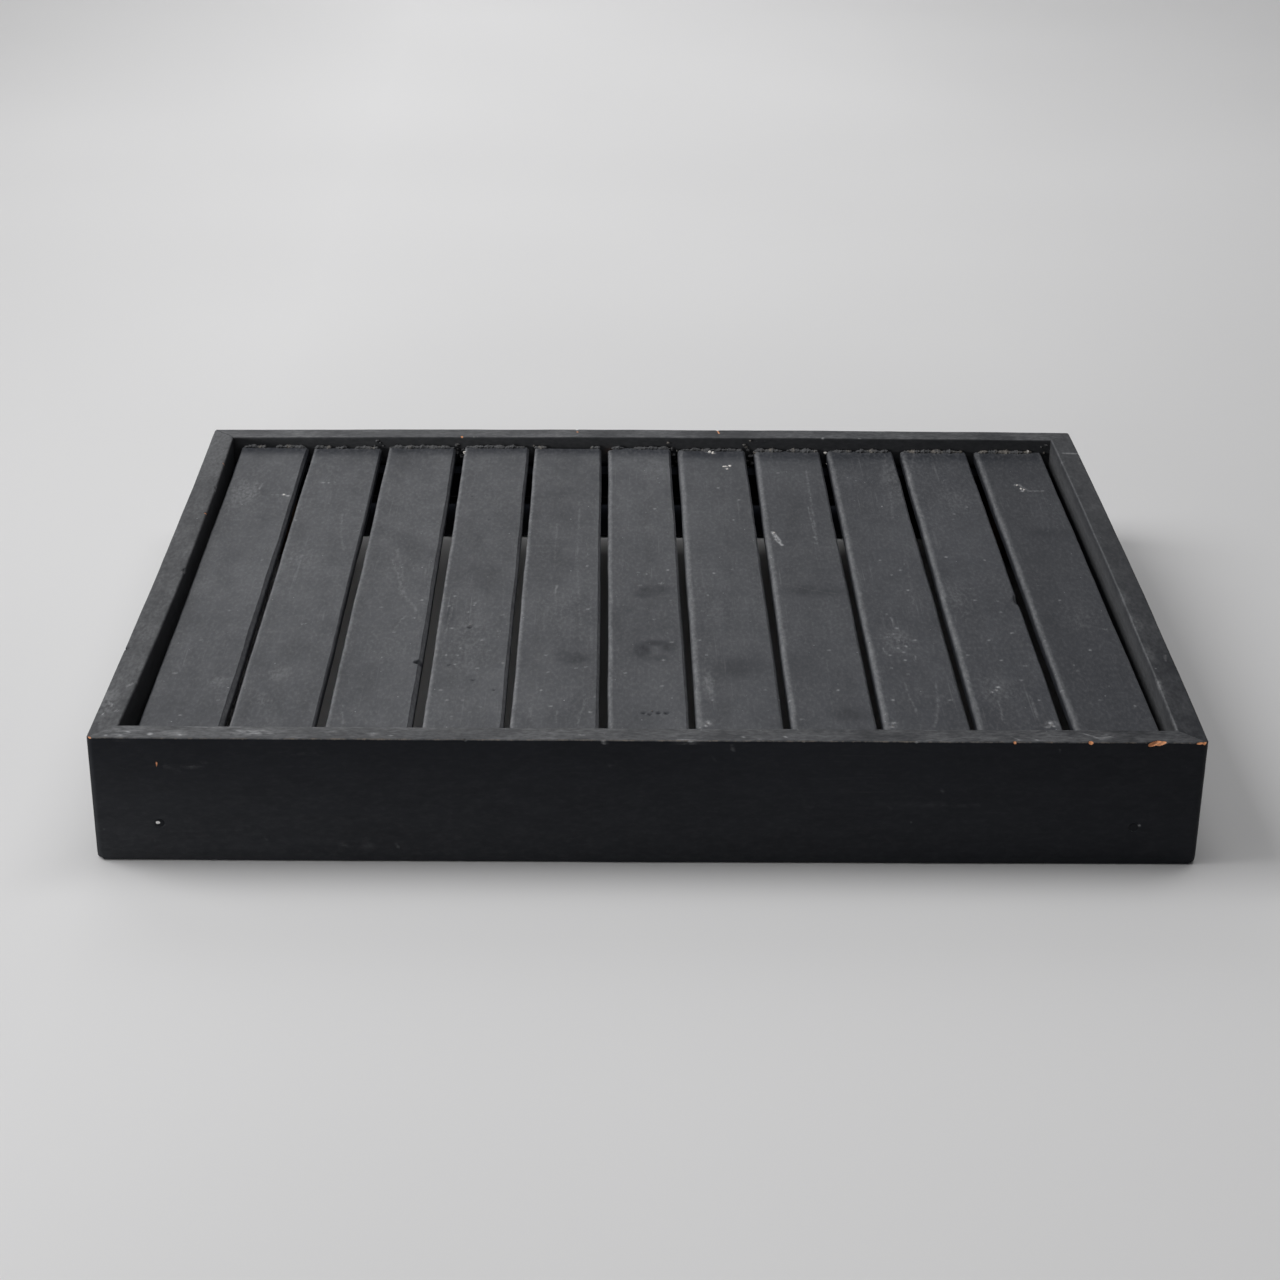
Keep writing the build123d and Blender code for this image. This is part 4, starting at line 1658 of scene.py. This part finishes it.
LAMPS = (
    Lamp("key_lamp", (-1400, 150, 1500), (1300, 1300), 26.0),
    Lamp("rear_lamp", (-650, 1700, 1150), (1700, 900), 8.5),
    Lamp("top_lamp", (420, 300, 2400), (900, 2400), 20.0),
    Lamp("fill_lamp", (-1100, -700, 140), (500, 220), 4.0, (-100, -150, 60)),
    Lamp("foot_lamp", (-24, 146.5, 17), (270, 3), 0.0033, (-24, 146.5, 0)),
)


@dataclass
class Studio:
    """A pale seamless floor that sweeps up behind the tray, its lamps and a dim sky.

    The ranges over which the floor's painted shade and painted light change are in metres, in the order of
    its
    fields: the painted shade under the tray to either side and at the front, the painted strip of light at
    the rear board's foot, then the shade's run across under the tray, and the painted falloff from front to
    rear and to either side.
    """

    floor_reach: float = 7000.0
    wall_place: float = 2600.0
    sweep_radius: float = 900.0
    wall_height: float = 3200.0
    paper: Colour = (0.96, 0.957, 0.96)
    roughness: float = 0.9
    gloss: float = 0.2
    drift: Noise = Noise(1.3, 1.3, 2, 0.5)
    drift_tone: Span = (0.35, 0.65, 0.93, 1)
    # Painted shade: the paper darker towards the front and to both sides, where the light falls off
    painted_falloff_near: float = 0.78
    painted_falloff_left: float = 0.5
    painted_falloff_right: float = 0.85
    # Painted shade under the tray, from its left to its right
    painted_shade_tones: tuple[float, float] = (0.95, 0.3)
    sky: Colour = (0.05, 0.05, 0.052)
    painted_shade_side: tuple[float, float] = (0.18, 0.19)
    painted_shade_front: tuple[float, float] = (-0.15, -0.14)
    # A painted strip of light on the paper at the rear board's foot
    painted_strip_front: tuple[float, float] = (0.128, 0.149)
    painted_strip_rear: tuple[float, float] = (0.149, 0.158)
    painted_shade_run: tuple[float, float] = (-0.13, -0.02)
    behind: tuple[float, float] = (0.3, 2.2)
    left: tuple[float, float] = (-0.9, -0.2)
    right: tuple[float, float] = (0.2, 0.9)

    def paper_material(self) -> bpy.types.Material:
        """Matt paper whose tone drifts a little, with painted shade towards the front and both sides and
        under the tray.

        Under the tray the painted shade deepens from its left to its right, except in a strip at the rear
        board's foot, which keeps the paper's full tone as a painted strip of light.

        Returns:
            The material.
        """
        g = Graph("paper")
        drift = g.between(g.noise(self.drift), *self.drift_tone)
        x, y, _ = g.add("ShaderNodeSeparateXYZ", {0: g.place}).outputs
        # Painted shade under the tray, deeper to the right, and a painted strip of light at the rear
        # board's foot
        inside = g.between(g.math("ABSOLUTE", x), *self.painted_shade_side, 1, 0)
        under = g.times(inside, g.between(y, *self.painted_shade_front), g.between(y, *self.painted_strip_front, 1, 0))
        foot = g.times(inside, g.between(y, *self.painted_strip_front), g.between(y, *self.painted_strip_rear, 1, 0))
        painted_shade = g.math("SUBTRACT", 1.0, g.between(x, *self.painted_shade_run, *self.painted_shade_tones))
        # The paper's tone, with painted shade towards the front and both sides and under the tray
        tone = g.times(
            drift,
            g.math("MAXIMUM", g.between(y, *self.behind, self.painted_falloff_near, 1.0), foot),
            g.between(x, *self.left, self.painted_falloff_left, 1.0),
            g.between(x, *self.right, 1.0, self.painted_falloff_right),
            g.math("SUBTRACT", 1.0, g.times(under, painted_shade)),
        )
        colour = g.mix(tone, (0.0, 0.0, 0.0), self.paper)
        return g.finish(Base_Color=colour, Roughness=self.roughness, Specular_IOR_Level=self.gloss)

    def build_paper(self) -> None:
        """Makes the floor and wall: a profile of floor, quarter circle and wall, carried along X."""
        angles = np.linspace(0, np.pi / 2, 25)[1:]
        floor_y = np.linspace(-self.floor_reach, self.wall_place - self.sweep_radius, 12)
        wall_z = np.linspace(self.sweep_radius, self.wall_height, 6)[1:]
        sweep_y = floor_y[-1] + self.sweep_radius * np.sin(angles)
        sweep_z = self.sweep_radius * (1 - np.cos(angles))
        y = np.concatenate([floor_y, sweep_y, 0 * wall_z + self.wall_place])
        z = np.concatenate([0 * floor_y, sweep_z, wall_z])
        x = np.linspace(-self.floor_reach, self.floor_reach, 14)[:, None]
        points = np.stack(np.broadcast_arrays(x, y, z), axis=2)
        row, column = np.meshgrid(np.arange(len(x) - 1), np.arange(len(y) - 1), indexing="ij")
        corner = row * len(y) + column
        quads = np.stack([corner, corner + len(y), corner + len(y) + 1, corner + 1], axis=-1)
        paper = Surface(points.reshape(-1, 3), [quads.reshape(-1, 4)]).build("paper_sweep")
        paper.data.materials.append(self.paper_material())

    def build(self) -> None:
        """Adds the paper, the lamps and the sky."""
        self.build_paper()
        for lamp in LAMPS:
            lamp.build()
        world = bpy.data.worlds.new("sky")
        world.use_nodes = True
        world.node_tree.nodes["Background"].inputs["Color"].default_value = (*self.sky, 1.0)
        bpy.context.scene.world = world
        bpy.context.scene.view_settings.view_transform = "Standard"


def dress(node: str, material: bpy.types.Material) -> None:
    """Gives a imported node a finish."""
    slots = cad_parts[node].data.materials
    slots.clear()
    slots.append(material)


def main() -> None:
    """Builds the tray's pieces in order, then the studio and the camera."""
    logging.basicConfig(level=logging.INFO, format="%(name)s %(message)s")
    PHOTO.build()
    long_paint = FramePaint("frame_paint_long", Grain.ALONG_X, brushing=0.01)
    left_paint = FramePaint("frame_paint_left", Grain.ALONG_Y, dust=0.085)
    right_paint = FramePaint("frame_paint_right", Grain.ALONG_Y, dust=0.055)
    front = Board("front_board", Side.FRONT, long_paint, LONG_NAIL_LEVEL, FRONT_CHIPS, 1)
    # The front board's rim and the foot of its outer face are painted lighter towards the left: painted
    # sheen over the rim's dust, and painted bounce light
    front = replace(front, bow_out=0.3, rim_dust_and_sheen=(0.1, 0.0), foot_painted_light=(0.055, 0.012))
    rear = Board("rear_board", Side.REAR, long_paint, LONG_NAIL_LEVEL, REAR_CHIPS, 3)
    rear = replace(rear, bow_out=0.8, bow_up=0.5, rise=(0.9, 0.0), hollow=0.85)
    # The rear board's inner face and rim are painted lighter towards the left, for the light that falls on
    # them
    rear = replace(rear, inner_painted_light=(0.12, 0.23), rim_dust_and_sheen=(0.02, 0.07))
    left = Board("left_board", Side.LEFT, left_paint, SIDE_NAIL_LEVEL, LEFT_CHIPS, 5)
    left = replace(left, bow_out=-1.0, bow_in=0.9, outer_wear=0.45)
    # The left board's inner face gets a little painted light, and its rim dust with painted sheen
    left = replace(left, inner_painted_light=(0.07, 0.09), rim_dust_and_sheen=(0.095, 0.09))
    right = Board("right_board", Side.RIGHT, right_paint, SIDE_NAIL_LEVEL, (), 7)
    right = replace(right, bow_out=1.0, rise=(0.0, 0.9), outer_wear=0.2, inner_wear=0.0)
    # The right board's inner face is painted lighter for the key light it catches, more so towards the deck
    # against the shade there, and its rim gets painted sheen towards the rear
    right = replace(right, inner_painted_light=(0.145, 0.165), haze_rise=0.7, rim_dust_and_sheen=(0.0, 0.06))
    for piece in (front, rear, left, right, *SLATS, GlueBeads(BEADS), Crumbs(CRUMBS)):
        log.info("%s", piece.build().name)
    for node in ("front_ledger", "rear_ledger"):
        dress(node, FramePaint("ledger_paint", Grain.ALONG_X, dust=0.0, speck=0.0).material())
    for node in sorted(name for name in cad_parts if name.startswith("corner_block")):
        dress(node, BlockWood().material())
    for node in ("corner_nails", "ledger_brads"):
        dress(node, NailPaint().material())
    Studio().build()


if __name__ == "__main__":
    main()
